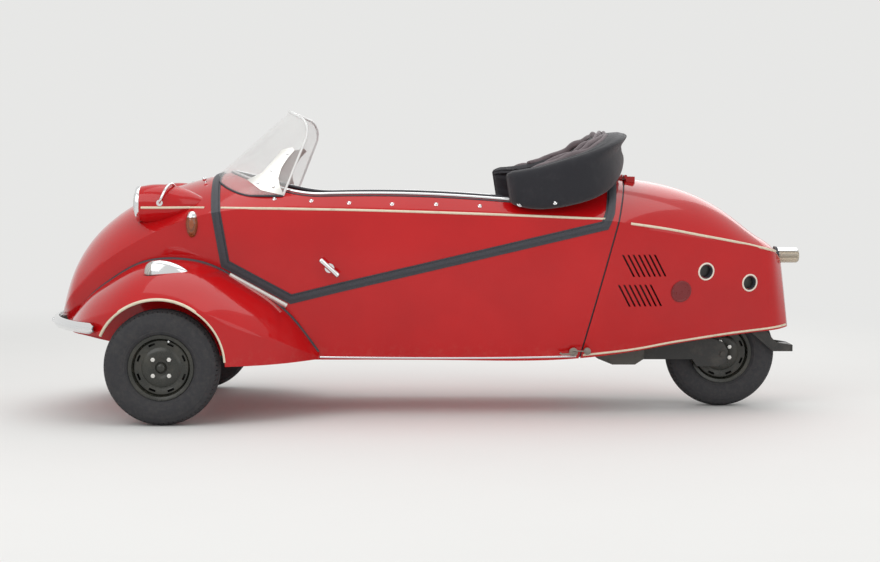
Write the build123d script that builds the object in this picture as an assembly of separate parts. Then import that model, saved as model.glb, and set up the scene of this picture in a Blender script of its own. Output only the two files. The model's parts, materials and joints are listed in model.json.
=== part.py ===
"""Open tandem cabin scooter: a three-wheeled micro-car with two seats in a row and a folded soft top.

Millimetres. +Z is up, the nose points along -X, and the car's left side is -Y.
The origin is on the ground below the middle of the car.
"""
import math
import os

from build123d import *

# Running gear
wheelbase = 2030
front_axle_x = -932
rear_axle_x = front_axle_x + wheelbase
front_track = 1080
wheel_y = front_track / 2
kingpin_inset = 37
kingpin_y = wheel_y - kingpin_inset
kingpin_radius = 9
post_inset = 25
post_half = 11
fork_half = 64
lug_thick = 10
boss_radius = 14
axle_tube_radius = 20
axle_bracket_y = 150
axle_bracket_half = 25
axle_bracket_outline = [(-45, 70), (-24, -4), (24, -4), (45, 70)]
stub_reach = 26
arm_half = 6
steering_arm_length = 86

# Tyres and wheels
tyre_radius = 205
tyre_width = 104
tyre_widest_radius = 154
tread_edge_radius = 192
tread_edge_inset = 12
rim_radius = 114
rim_width = 76
rim_thickness = 4
rim_lip = 5
bead_radius = 106
bore_radius = 13
shaft_clearance = 0.1
wheel_slot_count = 8
wheel_slot_angle = 11
wheel_slot_radii = (79.5, 90.5)
nut_circle = 40
nut_radius = 8

# Body shell
wall = 12
panel_gap = 6
fit_gap = 0.4
lip = 20
belly_from_x = 720
belly_front = (465, 280)
seam_foot_x = 554
seam_foot_z = 244
seam_lean = 0.27
lean_level = 430
bulkhead_x = 500
bulkhead_top = 640
pad_size = (100, 120)
pad_x = -200
pad_foot_z = 196

# Cockpit opening, canopy seal and hinges
opening_half = 322
opening_front_x = -735
opening_rear_x = 600
opening_corner = 150
opening_bow = 30
seal_width = 28
seal_stand = 3
hinge_y = 384
hinge_z = 716
hinge_xs = (-520, 330)
hinge_pin_radius = 3
hinge_barrel_radius = 7
hinge_span = 16
hinge_leaf = 26
hinge_leaf_inner_y = 340
leaf_gap = 4
tail_leaf_drop = 40
tail_leaf_back = 34
tail_hinge_z = 868
tail_hinge_back = 9
tail_hinge_y = 70
tail_hinge_span = 14
tail_barrel_radius = 6
tail_pin_radius = 2.5
knuckle_gap = 1

# Fenders
fender_wall = 8
fender_inner_half = 200
fender_foot_z = 205
fender_front_z = 314
arch_radius = 232
arch_centre_x = front_axle_x - 8
arch_centre_z = tyre_radius + 7

# Columns: X, floor half width, floor Z, waist half width, waist Z, crown Z, side bulge, and lean,
# which is how much X changes for each unit of height above lean_level
body_sections = [
    (-1374, 46, 326, 66, 352, 384, 2, 0),
    (-1340, 120, 300, 172, 400, 492, 8, 0),
    (-1284, 168, 284, 238, 462, 604, 12, 0),
    (-1200, 204, 268, 290, 540, 696, 16, 0),
    (-1080, 222, 252, 326, 620, 776, 18, 0),
    (-930, 236, 240, 346, 694, 834, 20, 0),
    (-760, 262, 216, 359, 742, 880, 22, 0),
    (-450, 292, 204, 368, 752, 932, 22, 0),
    (100, 300, 203, 371, 738, 934, 20, 0),
    (520, 286, 206, 362, 721, 888, 20, 0),
    (760, 250, 232, 342, 696, 858, 18, 0),
    (960, 198, 262, 274, 660, 812, 16, 0),
    (1120, 152, 280, 206, 630, 728, 12, 0),
    (1240, 114, 292, 152, 606, 644, 8, -0.04),
    (1296, 90, 298, 118, 594, 610, 5, -0.09),
    (1332, 44, 304, 56, 556, 572, 3, -0.12),
]

# Columns: X, outer half width, ridge Z at the body, shoulder Z, foot half width
fender_sections = [
    (-1296, 330, 352, 330, 300),
    (-1250, 430, 402, 350, 408),
    (-1160, 540, 468, 380, 528),
    (-1040, 598, 532, 408, 592),
    (-920, 614, 548, 414, 608),
    (-780, 606, 524, 396, 600),
    (-640, 566, 450, 336, 560),
    (-500, 462, 356, 274, 456),
    (-398, 322, 236, 218, 318),
]

# Canopy's lower edge on the left side, as X, Z, from the cowl round the skirt to the rear hoop
canopy_edge = [(-794, 860), (-742, 548), (-498, 416), (-319, 460), (640, 684), (664, 738), (686, 850)]

# Windscreen: half width, side X, front X and Z of its foot and its head, and its top edge from the side
screen_foot = (325, -525, -879, 800)
screen_head = (285, -395, -505, 1130)
screen_thickness = 4
screen_top = [(-924, 1305), (-470, 1087), (-441, 1060), (-432, 1030), (-436, 1005)]
bracket_outline = [(-659, 857), (-604, 820), (-520, 800), (-535, 831), (-542, 864), (-531, 901),
                   (-508, 938), (-484, 963), (-493, 974), (-530, 967), (-567, 923), (-604, 882)]
bracket_thickness = 3
bracket_inner_y = 150

# Folded soft top: its foot and its top from the side as X, Z, and half its plan as X, Y
hood_foot = [(262, 790), (285, 770), (380, 757), (470, 765), (555, 790), (622, 826), (660, 862), (720, 884)]
hood_top = [(720, 1038), (660, 1024), (622, 1000), (555, 966), (470, 938), (380, 912), (300, 893), (262, 885)]
hood_outer = [(262, 380), (300, 388), (380, 400), (470, 402), (550, 388), (620, 345), (665, 270), (690, 180),
              (702, 60)]
hood_inner = [(262, 310), (380, 310), (460, 300), (510, 282), (550, 245), (575, 190), (590, 60)]

# Lamps. Profile columns: X behind the lamp's front, radius
pod_y = 262
pod_z = 769
pod_front_x = -1052
pod_profile = [(8, 64), (82, 71.5), (232, 22)]
pod_rim = [(0, 55), (-9, 57), (-9, 61), (0, 65.5)]
lens_profile = [(-20, 0), (-15.5, 40), (-4, 57)]
side_lamp_x = -850
side_lamp_y = 356
side_lamp_foot_z = 648
side_lamp_profile = [(0, 0), (17.5, 18), (26.5, 58), (20.5, 86), (0, 100)]
fender_lamp_x = -1004
fender_lamp_y = 466
fender_lamp_z = 538
fender_lamp_profile = [(0, 0), (11, 23), (46, 36), (108, 27), (160, 3)]
tail_lamp_z = 570
tail_lamp_radius = 29
lamp_round = 12
tail_lamp_x = (1290, 1400)

# Bumper: a pressed blade, bowed in plan. Section columns: outwards, upwards
bumper_radius = 800
bumper_apex_x = -1400
bumper_middle_z = 344
bumper_half = 560
bumper_section = [(-6, -24), (0, -26), (7, -22), (12, -8), (16, -4), (16, 4), (12, 8), (7, 22), (0, 26),
                  (-6, 24), (1, 16), (4, 0), (1, -16)]
bumper_stay_y = 150
bumper_stay_half = 12
stay_depth = 8

# Tail openings and markers
port_places = [(1012, 522), (1184, 476)]
port_radius = 23
port_ring_radius = 33
port_ring_stand = 4
disc_place = (918, 450)
disc_radius = 40
disc_stand = 6
louvre_count = 7
louvre_pitch = 19.5
louvre_width = 7
louvre_run = (43, -80)
louvre_starts = [(694, 587), (681, 478)]

# Canopy handle and tail toggles
handle_place = (-355, 542)
handle_outline = [(-391, 569), (-383, 577), (-319, 520), (-327, 511)]
handle_stand = 392
handle_bar_thick = 12
handle_stem_radius = 9
handle_boss_radius = 17
handle_boss_stand = 384
toggle_place = (544, -316, 233)

# Seats and controls
column_foot = (-960, 0, 240)
column_end = (-600, 0, 600)
column_head = (-560, 0, 640)
column_radius = 14
column_bore = 9
column_overlap = 60
bar_half = 215
bar_radius = 11
grip_length = 110
grip_thickness = 5
dash_x = -812
dash_foot_z = 600
dash_thickness = 10
gauge_z = 730
gauge_radius = 46
seat_half = 190
cushion_height = 90
cushion_z = 300
back_height = 290
back_thickness = 60
back_gap = 1
back_overlap = 20
frame_tube = 11
frame_inset = 30
tub_floor_z = 204
# Columns: name, X of its front edge, depth, how far the back leans
seats = [("front", -330, 380, 60), ("rear", 150, 250, 40)]

# Rear running gear
rail_y = 70
rail_z = 332
rail_radius = 12
rail_end_x = 1236
engine_half = 130
engine_outline = [(610, 202), (628, 190), (682, 168), (766, 168), (800, 190)]
arm_inner = 64
arm_thick = 12
case_thick = 28
# Case on the left and plain arm on the right, as X, Z from the engine to the rear axle
case_outline = [(800, 184), (985, 184), (1002, 158), (1083, 158), (1112, 176), (1118, 216), (1100, 248),
                (1060, 262), (800, 280)]
arm_outline = [(800, 171), (1118, 179), (1128, 205), (1118, 231), (800, 255)]
rear_axle_radius = 10
rear_axle_end = 8
bracket_plate = [(1200, 326), (1236, 326), (1300, 246), (1364, 236), (1364, 212), (1290, 212), (1200, 290)]
bracket_thick = 8
bracket_bar = [(1330, 236), (1364, 236), (1364, 212), (1330, 212)]
# Columns: X from, X to, Y, Z, radius
silencer_tubes = [(830, 1010, 126, 250, 38), (800, 832, 112, 250, 14), (1008, 1120, 118, 232, 11)]
strap_x = (900, 920)
strap_y = 140
strap_foot_z = 280

# Large enough to reach past the whole car
beyond = 700
low, high = 100, 1200
far_front, far_rear = -1600, 1600

os.makedirs("parts", exist_ok=True)


def write(name, shape):
    """Write one sub-part, kept as a compound when it holds several solids."""
    export_step(shape if isinstance(shape, (Solid, Compound)) else Compound(children=list(shape)),
                f"parts/{name}.step")


def body_wire(section, grow):
    """One cross-section of the hull, moved outwards by grow all round."""
    x, floor_half, floor_z, waist_half, waist_z, crown_z, bulge, lean = section
    floor_half, waist_half = floor_half + grow, waist_half + grow
    floor_z, crown_z = floor_z - grow, crown_z + grow
    side_y, side_z = (floor_half + waist_half) / 2 + bulge, (floor_z + waist_z) / 2

    def at(y, z):
        return (x + lean * (z - lean_level), y, z)

    return Wire([
        Edge.make_line(at(-floor_half, floor_z), at(floor_half, floor_z)),
        Edge.make_three_point_arc(at(floor_half, floor_z), at(side_y, side_z), at(waist_half, waist_z)),
        Edge.make_three_point_arc(at(waist_half, waist_z), at(0, crown_z), at(-waist_half, waist_z)),
        Edge.make_three_point_arc(at(-waist_half, waist_z), at(-side_y, side_z), at(-floor_half, floor_z)),
    ])


def hull(grow):
    """The whole smooth hull as a solid, grown outwards or shrunk inwards."""
    ends = {0: -grow, len(body_sections) - 1: grow}
    wires = []
    for index, section in enumerate(body_sections):
        x = section[0] + ends.get(index, 0)
        wires.append(body_wire((x, *section[1:]), grow))
    return Solid.make_loft(wires)


def side_prism(points, y_from, y_to):
    """A prism across the car from an outline of X, Z points."""
    face = Face(Wire.make_polygon([(x, y_from, z) for x, z in points], close=True))
    return Solid.extrude(face, Vector(0, y_to - y_from, 0))


def plan_prism(points, z_from, z_to):
    """A prism upwards from an outline of X, Y points."""
    face = Face(Wire.make_polygon([(x, y, z_from) for x, y in points], close=True))
    return Solid.extrude(face, Vector(0, 0, z_to - z_from))


def both_ways(half_outline):
    """Half a plan outline with its mirror image, from the left front round the back to the right front."""
    return [(x, -y) for x, y in half_outline] + [(x, y) for x, y in reversed(half_outline)]


def box(x_range, y_range, z_range):
    """A block between two values along each axis."""
    spans = [(min(r), max(r) - min(r)) for r in (x_range, y_range, z_range)]
    return Solid.make_box(*(size for _, size in spans), Plane(tuple(start for start, _ in spans)))


def across(x, y, z, radius, length):
    """A cylinder along Y that starts at y."""
    return Solid.make_cylinder(radius, length, Plane(origin=(x, y, z), z_dir=(0, 1, 0)))


def upright(x, y, z_from, z_to, radius):
    """A cylinder along Z."""
    return Solid.make_cylinder(radius, z_to - z_from, Plane((x, y, z_from)))


def lengthwise(x_from, x_to, y, z, radius):
    """A cylinder along X."""
    return Solid.make_cylinder(radius, x_to - x_from, Plane(origin=(x_from, y, z), z_dir=(1, 0, 0)))


def tube_between(start, end, radius):
    """A round bar from one point to another."""
    start, end = Vector(*start), Vector(*end)
    return Solid.make_cylinder(radius, (end - start).length, Plane(origin=start, z_dir=(end - start)))


def revolve_x(edges, x, y, z):
    """A solid of revolution about a lengthwise axis, from lines and arcs through X, R points."""
    return Solid.revolve(Face(profile_wire(edges, lambda a, r: (x + a, y, z + r))), 360,
                         Axis((x, y, z), (1, 0, 0)))


def revolve_y(edges, x, y, z):
    """A solid of revolution about a crosswise axis, from lines and arcs through Y, R points."""
    return Solid.revolve(Face(profile_wire(edges, lambda a, r: (x, y + a, z + r))), 360,
                         Axis((x, y, z), (0, 1, 0)))


def profile_wire(edges, at):
    """A closed wire of runs: two points make a line and three make an arc; gaps are closed by lines."""
    made = []
    for run, after in zip(edges, edges[1:] + edges[:1]):
        points = [at(*point) for point in run]
        if len(points) == 3:
            made.append(Edge.make_three_point_arc(*points))
        elif len(points) == 2:
            made.append(Edge.make_line(*points))
        start = at(*after[0])
        if math.dist(points[-1], start) > 1e-6:
            made.append(Edge.make_line(points[-1], start))
    return Wire(made)


def corner_runs(points):
    """Each corner of a polygon as a run of one point, for profile_wire."""
    return [[point] for point in points]


def both_sides(shape):
    """The left shape with its mirror image on the right."""
    return [shape, shape.mirror(Plane.XZ)]


def seam_x(z):
    """Where the seam between tub and tail cover lies at a height."""
    return seam_foot_x + seam_lean * (z - seam_foot_z)


def beside_seam(shift, far_x):
    """Everything from the seam, moved back by shift, to far_x."""
    return side_prism([(seam_x(low) + shift, low), (far_x, low), (far_x, high), (seam_x(high) + shift, high)],
                      -beyond, beyond)


def canopy_region(grow):
    """What belongs to the canopy: above the skirt line on the left, above the hinge line on the right."""
    front_top = (canopy_edge[0][0] - 30, high)
    rear_top = (canopy_edge[-1][0] + 90, high)
    outline = Wire.make_polygon([(x, 0, z) for x, z in [front_top, *canopy_edge, rear_top]], close=True)
    if grow:
        outline = outline.offset_2d(grow, kind=Kind.INTERSECTION)
    face = Face(outline)
    above_hinge = side_prism([(far_front, hinge_z - grow), (far_rear, hinge_z - grow),
                              (far_rear, high + beyond), (far_front, high + beyond)], 0, beyond)
    right_half = Solid.extrude(face, Vector(0, beyond, 0)) & above_hinge
    return Solid.extrude(face, Vector(0, -beyond, 0)) + right_half


def opening_prism():
    """The cockpit opening from above: half an ellipse ahead, rounded corners behind."""
    half, front, rear, corner = opening_half, opening_front_x, opening_rear_x, opening_corner
    bend = front + half + opening_bow
    outline = Wire([
        Edge.make_three_point_arc((bend, -half, low), (front, 0, low), (bend, half, low)),
        Edge.make_line((bend, half, low), (rear - corner, half, low)),
        Edge.make_tangent_arc((rear - corner, half, low), (1, 0, 0), (rear, half - corner, low)),
        Edge.make_line((rear, half - corner, low), (rear, corner - half, low)),
        Edge.make_tangent_arc((rear, corner - half, low), (0, -1, 0), (rear - corner, -half, low)),
        Edge.make_line((rear - corner, -half, low), (bend, -half, low)),
    ])
    return Solid.extrude(Face(outline), Vector(0, 0, high))


outer, inner, hull_seat = hull(0), hull(-wall), hull(fit_gap)
shell = outer - inner
opening = opening_prism()
beside_opening = hull_seat - opening

# Tub with nose, floor, rear bulkhead and a flat lifting pad under the floor
bulkhead = box((bulkhead_x, bulkhead_x + wall), (-beyond, beyond), (low, bulkhead_top)) & inner
pad_length, pad_width = pad_size
lifting_pad = box((pad_x - pad_length / 2, pad_x + pad_length / 2), (-pad_width / 2, pad_width / 2),
                  (pad_foot_z, tub_floor_z + wall / 2)) - inner
tub = ((shell & beside_seam(0, far_front)) - canopy_region(panel_gap)) + bulkhead + lifting_pad
write("tub", tub)

# Canopy frame and its rubber seal
seal_band = canopy_region(0) - canopy_region(-seal_width)
canopy_frame = (shell & canopy_region(0)) - opening - seal_band
write("canopy_frame", canopy_frame)
canopy_seal = ((hull(seal_stand) - inner) & seal_band) - opening
write("canopy_seal", canopy_seal)


def louvre_slots():
    """Two rows of slanted slots on each side of the tail cover."""
    run_x, run_z = louvre_run
    for start_x, start_z in louvre_starts:
        for index in range(louvre_count):
            x = start_x + index * louvre_pitch
            yield side_prism([(x, start_z), (x + louvre_width, start_z),
                              (x + run_x + louvre_width, start_z + run_z), (x + run_x, start_z + run_z)],
                             -beyond, beyond)


# Tail cover with louvres and ports, open underneath but for a narrow lip
belly = [(x, half - lip) for x, half, *_ in body_sections[:-1] if x > belly_from_x]
belly = [belly_front, *belly, (body_sections[-1][0] - wall, body_sections[-1][1])]
tail_cover = shell & beside_seam(panel_gap, far_rear)
for slot in louvre_slots():
    tail_cover = tail_cover - slot
for x, z in port_places:
    tail_cover = tail_cover - across(x, -beyond, z, port_radius, 2 * beyond)
tail_cover = tail_cover - plan_prism(both_ways(belly), low, rail_z)
write("tail_cover", tail_cover)


def fender_wire(section, shrink):
    """One cross-section of the left fender, moved inwards by shrink."""
    x, half, ridge_z, shoulder_z, foot_half = section
    half, foot_half, ridge_z = half - shrink, foot_half - shrink, ridge_z - shrink
    middle_y = fender_inner_half + (half - fender_inner_half) * 0.78
    middle_z = shoulder_z + (ridge_z - shoulder_z) * 0.72
    foot, ridge = (x, -fender_inner_half, fender_foot_z), (x, -fender_inner_half, ridge_z)
    shoulder, outer_foot = (x, -half, shoulder_z), (x, -foot_half, fender_foot_z)
    return Wire([
        Edge.make_line(foot, ridge),
        Edge.make_three_point_arc(ridge, (x, -middle_y, middle_z), shoulder),
        Edge.make_line(shoulder, outer_foot),
        Edge.make_line(outer_foot, foot),
    ])


def fender_body(shrink):
    """The left fender as a solid, shrunk inwards all round."""
    ends = {0: shrink, len(fender_sections) - 1: -shrink}
    return Solid.make_loft([fender_wire((section[0] + ends.get(index, 0), *section[1:]), shrink)
                            for index, section in enumerate(fender_sections)])


# Front fenders: a bulging shell over each wheel, seated on the hull's side
fender_seat = fender_body(-fit_gap)
arch = across(arch_centre_x, -beyond, arch_centre_z, arch_radius, beyond)
arch_foot = box((arch_centre_x - arch_radius, arch_centre_x + arch_radius), (-beyond, 0),
                (low, arch_centre_z))
apron = box((far_front, arch_centre_x), (-beyond, 0), (low, fender_front_z))
fender_left = fender_body(0) - fender_body(fender_wall) - hull_seat - arch - arch_foot - apron
for name, solid in zip(("fender_left", "fender_right"), both_sides(fender_left)):
    write(name, solid)

# Headlamps: a bullet pod with a bright rim, and a domed lens in it
mouth = pod_rim[0][1]
pod = revolve_x([[(0, 0)], *corner_runs(pod_rim), pod_profile, [(pod_profile[-1][0], 0)]],
                pod_front_x, -pod_y, pod_z)
write("headlamp_pods", both_sides(pod - hull_seat))
lens = revolve_x([lens_profile, [(0, mouth - fit_gap)], [(0, 0)]], pod_front_x, -pod_y, pod_z)
write("headlamp_lenses", both_sides(lens - pod))

# Amber teardrops on the flanks and bright bullets on the fenders
foot_run, head_run = side_lamp_profile[:3], side_lamp_profile[2:]
teardrop = Face(profile_wire([foot_run, head_run],
                             lambda r, z: (side_lamp_x + r, -side_lamp_y, side_lamp_foot_z + z)))
side_lamp = Solid.revolve(teardrop, 360, Axis((side_lamp_x, -side_lamp_y, 0), (0, 0, 1))) - hull_seat
write("side_lamps", both_sides(side_lamp))
bullet = revolve_x([fender_lamp_profile[:3], fender_lamp_profile[2:], [(fender_lamp_profile[-1][0], 0)]],
                   fender_lamp_x, -fender_lamp_y, fender_lamp_z)
write("fender_lamps", both_sides(bullet - fender_seat - hull_seat))

# Front bumper: the blade's section turned about an upright axis, on two stays
bumper_centre_x = bumper_apex_x + bumper_radius
bumper_turn = math.degrees(math.asin(bumper_half / bumper_radius))
blade_face = Face(Wire.make_polygon([(bumper_apex_x - out, 0, bumper_middle_z + up)
                                     for out, up in bumper_section], close=True))
bumper_axis = Axis((bumper_centre_x, 0, 0), (0, 0, 1))
bumper = Solid.revolve(blade_face, 2 * bumper_turn, bumper_axis).rotate(bumper_axis, -bumper_turn)
stay_x = bumper_centre_x - math.sqrt(bumper_radius ** 2 - bumper_stay_y ** 2)
for side in (-1, 1):
    stay = box((stay_x - stay_depth, body_sections[2][0]),
               (side * bumper_stay_y - bumper_stay_half, side * bumper_stay_y + bumper_stay_half),
               (bumper_middle_z - bumper_stay_half, bumper_middle_z + bumper_stay_half))
    bumper = bumper + (stay - hull_seat)
write("front_bumper", bumper)


def screen_section(row, out, inwards):
    """A crescent in plan, from out beyond the sheet's face to inwards behind it."""
    half, side_x, front_x, z = row
    face_points, back_points = ([(side_x, -half - shift, z), (front_x - shift, 0, z),
                                 (side_x, half + shift, z)] for shift in (out, -inwards))
    return Wire([Edge.make_three_point_arc(*face_points), Edge.make_line(face_points[2], back_points[2]),
                 Edge.make_three_point_arc(*reversed(back_points)),
                 Edge.make_line(back_points[0], face_points[0])])


def screen_sheet(out, inwards):
    """The bent windscreen, or a layer outside it."""
    return Solid.make_loft([screen_section(screen_foot, out, inwards),
                            screen_section(screen_head, out, inwards)], ruled=True)


# Windscreen: a bent clear sheet, and the pale plates that hold its corners
above_screen = side_prism([*screen_top, (beyond, screen_top[-1][1]), (beyond, beyond + high),
                           (screen_top[0][0], beyond + high)], -beyond, beyond)
windscreen = screen_sheet(0, screen_thickness) - above_screen - beside_opening - canopy_seal
write("windscreen", max(windscreen.solids(), key=lambda solid: solid.volume))
bracket_prism = side_prism(bracket_outline, -beyond, -bracket_inner_y)
bracket = (screen_sheet(fit_gap + bracket_thickness, -fit_gap) & bracket_prism) - beside_opening
write("screen_brackets", both_sides(bracket))

# Folded soft top: a thick horseshoe of cloth round the back of the cockpit, draped over the rim
hood_ring = plan_prism(both_ways(hood_outer), low, high) - plan_prism(both_ways(hood_inner), low, high)
hood = (side_prism(hood_foot + hood_top, -beyond, beyond) & hood_ring) - beside_opening - canopy_seal
write("folded_hood", hood)

# Canopy handle: a stem through the skirt with a slanted bar across it
handle_x, handle_z = handle_place
stem = across(handle_x, -handle_stand, handle_z, handle_stem_radius, handle_stand)
boss = across(handle_x, -handle_boss_stand, handle_z, handle_boss_radius, handle_boss_stand)
handle_bar = side_prism(handle_outline, -handle_stand - handle_bar_thick, -handle_stand)
write("canopy_handle", ((stem + boss) - hull_seat) + handle_bar)

# Canopy hinges along the right side: a fixed middle barrel with its pin, and a moving barrel at each end
fixed_hinge, moving_hinge = [], []
for x in hinge_xs:
    barrel = lengthwise(x - hinge_span, x + hinge_span, hinge_y, hinge_z, hinge_barrel_radius)
    pin = lengthwise(x - 3 * hinge_span, x + 3 * hinge_span, hinge_y, hinge_z, hinge_pin_radius)
    leaf = box((x - hinge_span, x + hinge_span), (hinge_leaf_inner_y, hinge_y - hinge_pin_radius),
               (hinge_z - hinge_leaf - leaf_gap, hinge_z - leaf_gap))
    fixed_hinge.append((leaf - hull_seat) + barrel + pin)
    for side in (-1, 1):
        start, end = sorted((x + side * (hinge_span + knuckle_gap), x + side * 3 * hinge_span))
        barrel = lengthwise(start, end, hinge_y, hinge_z, hinge_barrel_radius)
        leaf = box((start, end), (hinge_leaf_inner_y, hinge_y - hinge_pin_radius),
                   (hinge_z + leaf_gap, hinge_z + hinge_leaf + leaf_gap)) - hull(seal_stand)
        pin_bore = lengthwise(start - 1, end + 1, hinge_y, hinge_z, hinge_pin_radius + shaft_clearance)
        moving_hinge.append((leaf + barrel) - pin_bore)
write("canopy_hinge_fixed", fixed_hinge)
write("canopy_hinge_moving", moving_hinge)

# Tail hinges across the crown, made the same way
tail_hinge_x = seam_x(tail_hinge_z - 10) + tail_hinge_back
leaf_z = (tail_hinge_z - tail_leaf_drop, tail_hinge_z - 1)
tail_fixed, tail_moving = [], []
for y in (-tail_hinge_y, tail_hinge_y):
    span = tail_hinge_span
    barrel = across(tail_hinge_x, y - span, tail_hinge_z, tail_barrel_radius, 2 * span)
    pin = across(tail_hinge_x, y - 3 * span, tail_hinge_z, tail_pin_radius, 6 * span)
    leaf = box((tail_hinge_x - hinge_leaf, tail_hinge_x - 1), (y - span, y + span), leaf_z)
    tail_fixed.append((leaf - hull_seat) + barrel + pin)
    for side in (-1, 1):
        start, end = sorted((y + side * (span + knuckle_gap), y + side * 3 * span))
        barrel = across(tail_hinge_x, start, tail_hinge_z, tail_barrel_radius, end - start)
        leaf = box((tail_hinge_x + 1, tail_hinge_x + tail_leaf_back), (start, end), leaf_z)
        pin_bore = across(tail_hinge_x, start - 1, tail_hinge_z, tail_pin_radius + shaft_clearance,
                          end - start + 2)
        tail_moving.append(((leaf - hull_seat) + barrel) - pin_bore)
write("tail_hinge_fixed", tail_fixed)
write("tail_hinge_moving", tail_moving)

# Toggles low at the seam, with a lever over a rounded catch
toggle_x, toggle_y, toggle_z = toggle_place
toggle = box((toggle_x - 66, toggle_x), (toggle_y, toggle_y + 66), (toggle_z - 11, toggle_z + 11)) - hull_seat
write("tail_toggles", both_sides(toggle))

# Tail lamp, port rings and the round marker discs
lamp_front_x, lamp_rear_x = tail_lamp_x
lamp_length = lamp_rear_x - lamp_front_x
lamp_outline = [(0, 0), (0, tail_lamp_radius), (lamp_length - lamp_round, tail_lamp_radius),
                (lamp_length, tail_lamp_radius - lamp_round), (lamp_length, 0)]
tail_lamp = revolve_x(corner_runs(lamp_outline), lamp_front_x, 0, tail_lamp_z)
write("tail_lamp", tail_lamp - hull_seat)
rings = []
for x, z in port_places:
    ring = across(x, -beyond, z, port_ring_radius, beyond) - across(x, -beyond, z, port_radius, beyond)
    rings += both_sides((ring & hull(port_ring_stand)) - hull_seat)
write("port_rings", rings)
disc_x, disc_z = disc_place
disc = (across(disc_x, -beyond, disc_z, disc_radius, beyond) & hull(disc_stand)) - hull_seat
write("marker_discs", both_sides(disc))

# Dashboard with one round gauge, and the steering column
gauge_back, gauge_front = -20, 22
dash = inner & box((dash_x, dash_x + dash_thickness), (-beyond, beyond), (dash_foot_z, high))
gauge = lengthwise(dash_x + gauge_back, dash_x + gauge_front, 0, gauge_z, gauge_radius)
write("dashboard", dash - gauge)
write("gauge", gauge)
shaft_foot = [value - column_overlap * way for value, way in zip(column_end, (1, 0, 1))]
column = tube_between(column_foot, column_end, column_radius) & hull(-wall)
write("steering_column", column - tube_between(shaft_foot, column_head, column_bore))
shaft_start = [value + way for value, way in zip(shaft_foot, (1, 0, 1))]
bar = tube_between(shaft_start, column_head, column_bore - shaft_clearance)
head_x, _, head_z = column_head
bar = bar + across(head_x, -bar_half, head_z, bar_radius, 2 * bar_half)
for y in (-bar_half, bar_half - grip_length):
    bar = bar + across(head_x, y, head_z, bar_radius + grip_thickness, grip_length)
write("handlebar", bar)

# Seats: two cushions with leaning backs, on tube frames
seat_frames = []
cushion_top = cushion_z + cushion_height
back_foot = cushion_top + back_gap
for name, seat_x, depth, back_lean in seats:
    write(f"{name}_seat_cushion",
          box((seat_x, seat_x + depth), (-seat_half, seat_half), (cushion_z, cushion_top)))
    back_x = seat_x + depth - back_overlap
    back_rear_x = back_x + back_thickness
    back_outline = [(back_x, back_foot), (back_rear_x, back_foot),
                    (back_rear_x + back_lean, back_foot + back_height),
                    (back_x + back_lean, back_foot + back_height)]
    write(f"{name}_seat_back", side_prism(back_outline, -seat_half, seat_half))
    for y in (frame_inset - seat_half, seat_half - frame_inset):
        runner = lengthwise(seat_x, seat_x + depth, y, cushion_z - frame_tube, frame_tube)
        for leg_x in (seat_x + frame_inset, seat_x + depth - frame_inset - frame_tube):
            runner = runner + upright(leg_x, y, tub_floor_z, cushion_z - frame_tube, frame_tube - 1)
        seat_frames.append(runner & inner)
write("seat_frames", seat_frames)

# Front axle: a cross tube under the nose on two brackets, with a fork for each kingpin
axle_z = tyre_radius
post_y = kingpin_y - post_inset
tube_end = post_y - post_half / 2
beam = across(front_axle_x, -tube_end, axle_z, axle_tube_radius, 2 * tube_end)
plate = [(front_axle_x + out, axle_z + up) for out, up in axle_bracket_outline]
for y in (-axle_bracket_y, axle_bracket_y):
    beam = beam + (side_prism(plate, y - axle_bracket_half, y + axle_bracket_half) - hull_seat)
write("front_axle", beam)
post_x = (front_axle_x - post_half, front_axle_x + post_half)
fork_foot, fork_head = axle_z - fork_half, axle_z + fork_half
fork = box(post_x, (-post_y - 5, -tube_end), (fork_foot, fork_head))
for z in (fork_foot, fork_head - lug_thick):
    fork = fork + box(post_x, (-kingpin_y, -tube_end), (z, z + lug_thick))
    fork = fork + upright(front_axle_x, -kingpin_y, z, z + lug_thick, boss_radius)
fork = fork + upright(front_axle_x, -kingpin_y, fork_foot, fork_head, kingpin_radius)
write("kingpin_forks", both_sides(fork))

# Knuckles: a boss on the kingpin with a stub axle and a steering arm
stub_radius = bore_radius - shaft_clearance
stub_end = wheel_y + stub_reach
arm_z = (axle_z - 36, axle_z - 22)
arm_end_x = front_axle_x + steering_arm_length
knuckle = upright(front_axle_x, -kingpin_y, fork_foot + lug_thick + knuckle_gap,
                  fork_head - lug_thick - knuckle_gap, boss_radius)
knuckle = knuckle + across(front_axle_x, -stub_end, axle_z, stub_radius, stub_end - kingpin_y)
knuckle = knuckle + box((front_axle_x, arm_end_x), (-kingpin_y - arm_half, -kingpin_y + arm_half), arm_z)
knuckle = knuckle + box((arm_end_x - 2 * arm_half, arm_end_x), (-kingpin_y - arm_half, 44 - kingpin_y), arm_z)
knuckle = knuckle - upright(front_axle_x, -kingpin_y, 0, high, kingpin_radius + shaft_clearance)
for name, solid in zip(("knuckle_left", "knuckle_right"), both_sides(knuckle)):
    write(name, solid)

bead_half = rim_width / 2
# Pressed disc, drum and cap. Columns: offset towards the outside, radius
disc_profile = [(16, 103.5), (24, 97), (27, 86), (22.5, 72), (28.5, 56), (28.5, 20), (23, 20), (23, 54),
                (17.5, 70), (21, 84), (19, 92), (11, 98), (11, 103.5)]
drum_profile = [(-20, 0), (-20, 68), (-16, 72), (4, 72), (12, 60), (20, 34), (25, 30), (25, 0)]
cap_profile = [(22, 0), (22, 19), (38, 17), (44, 11), (46, 0)]


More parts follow.
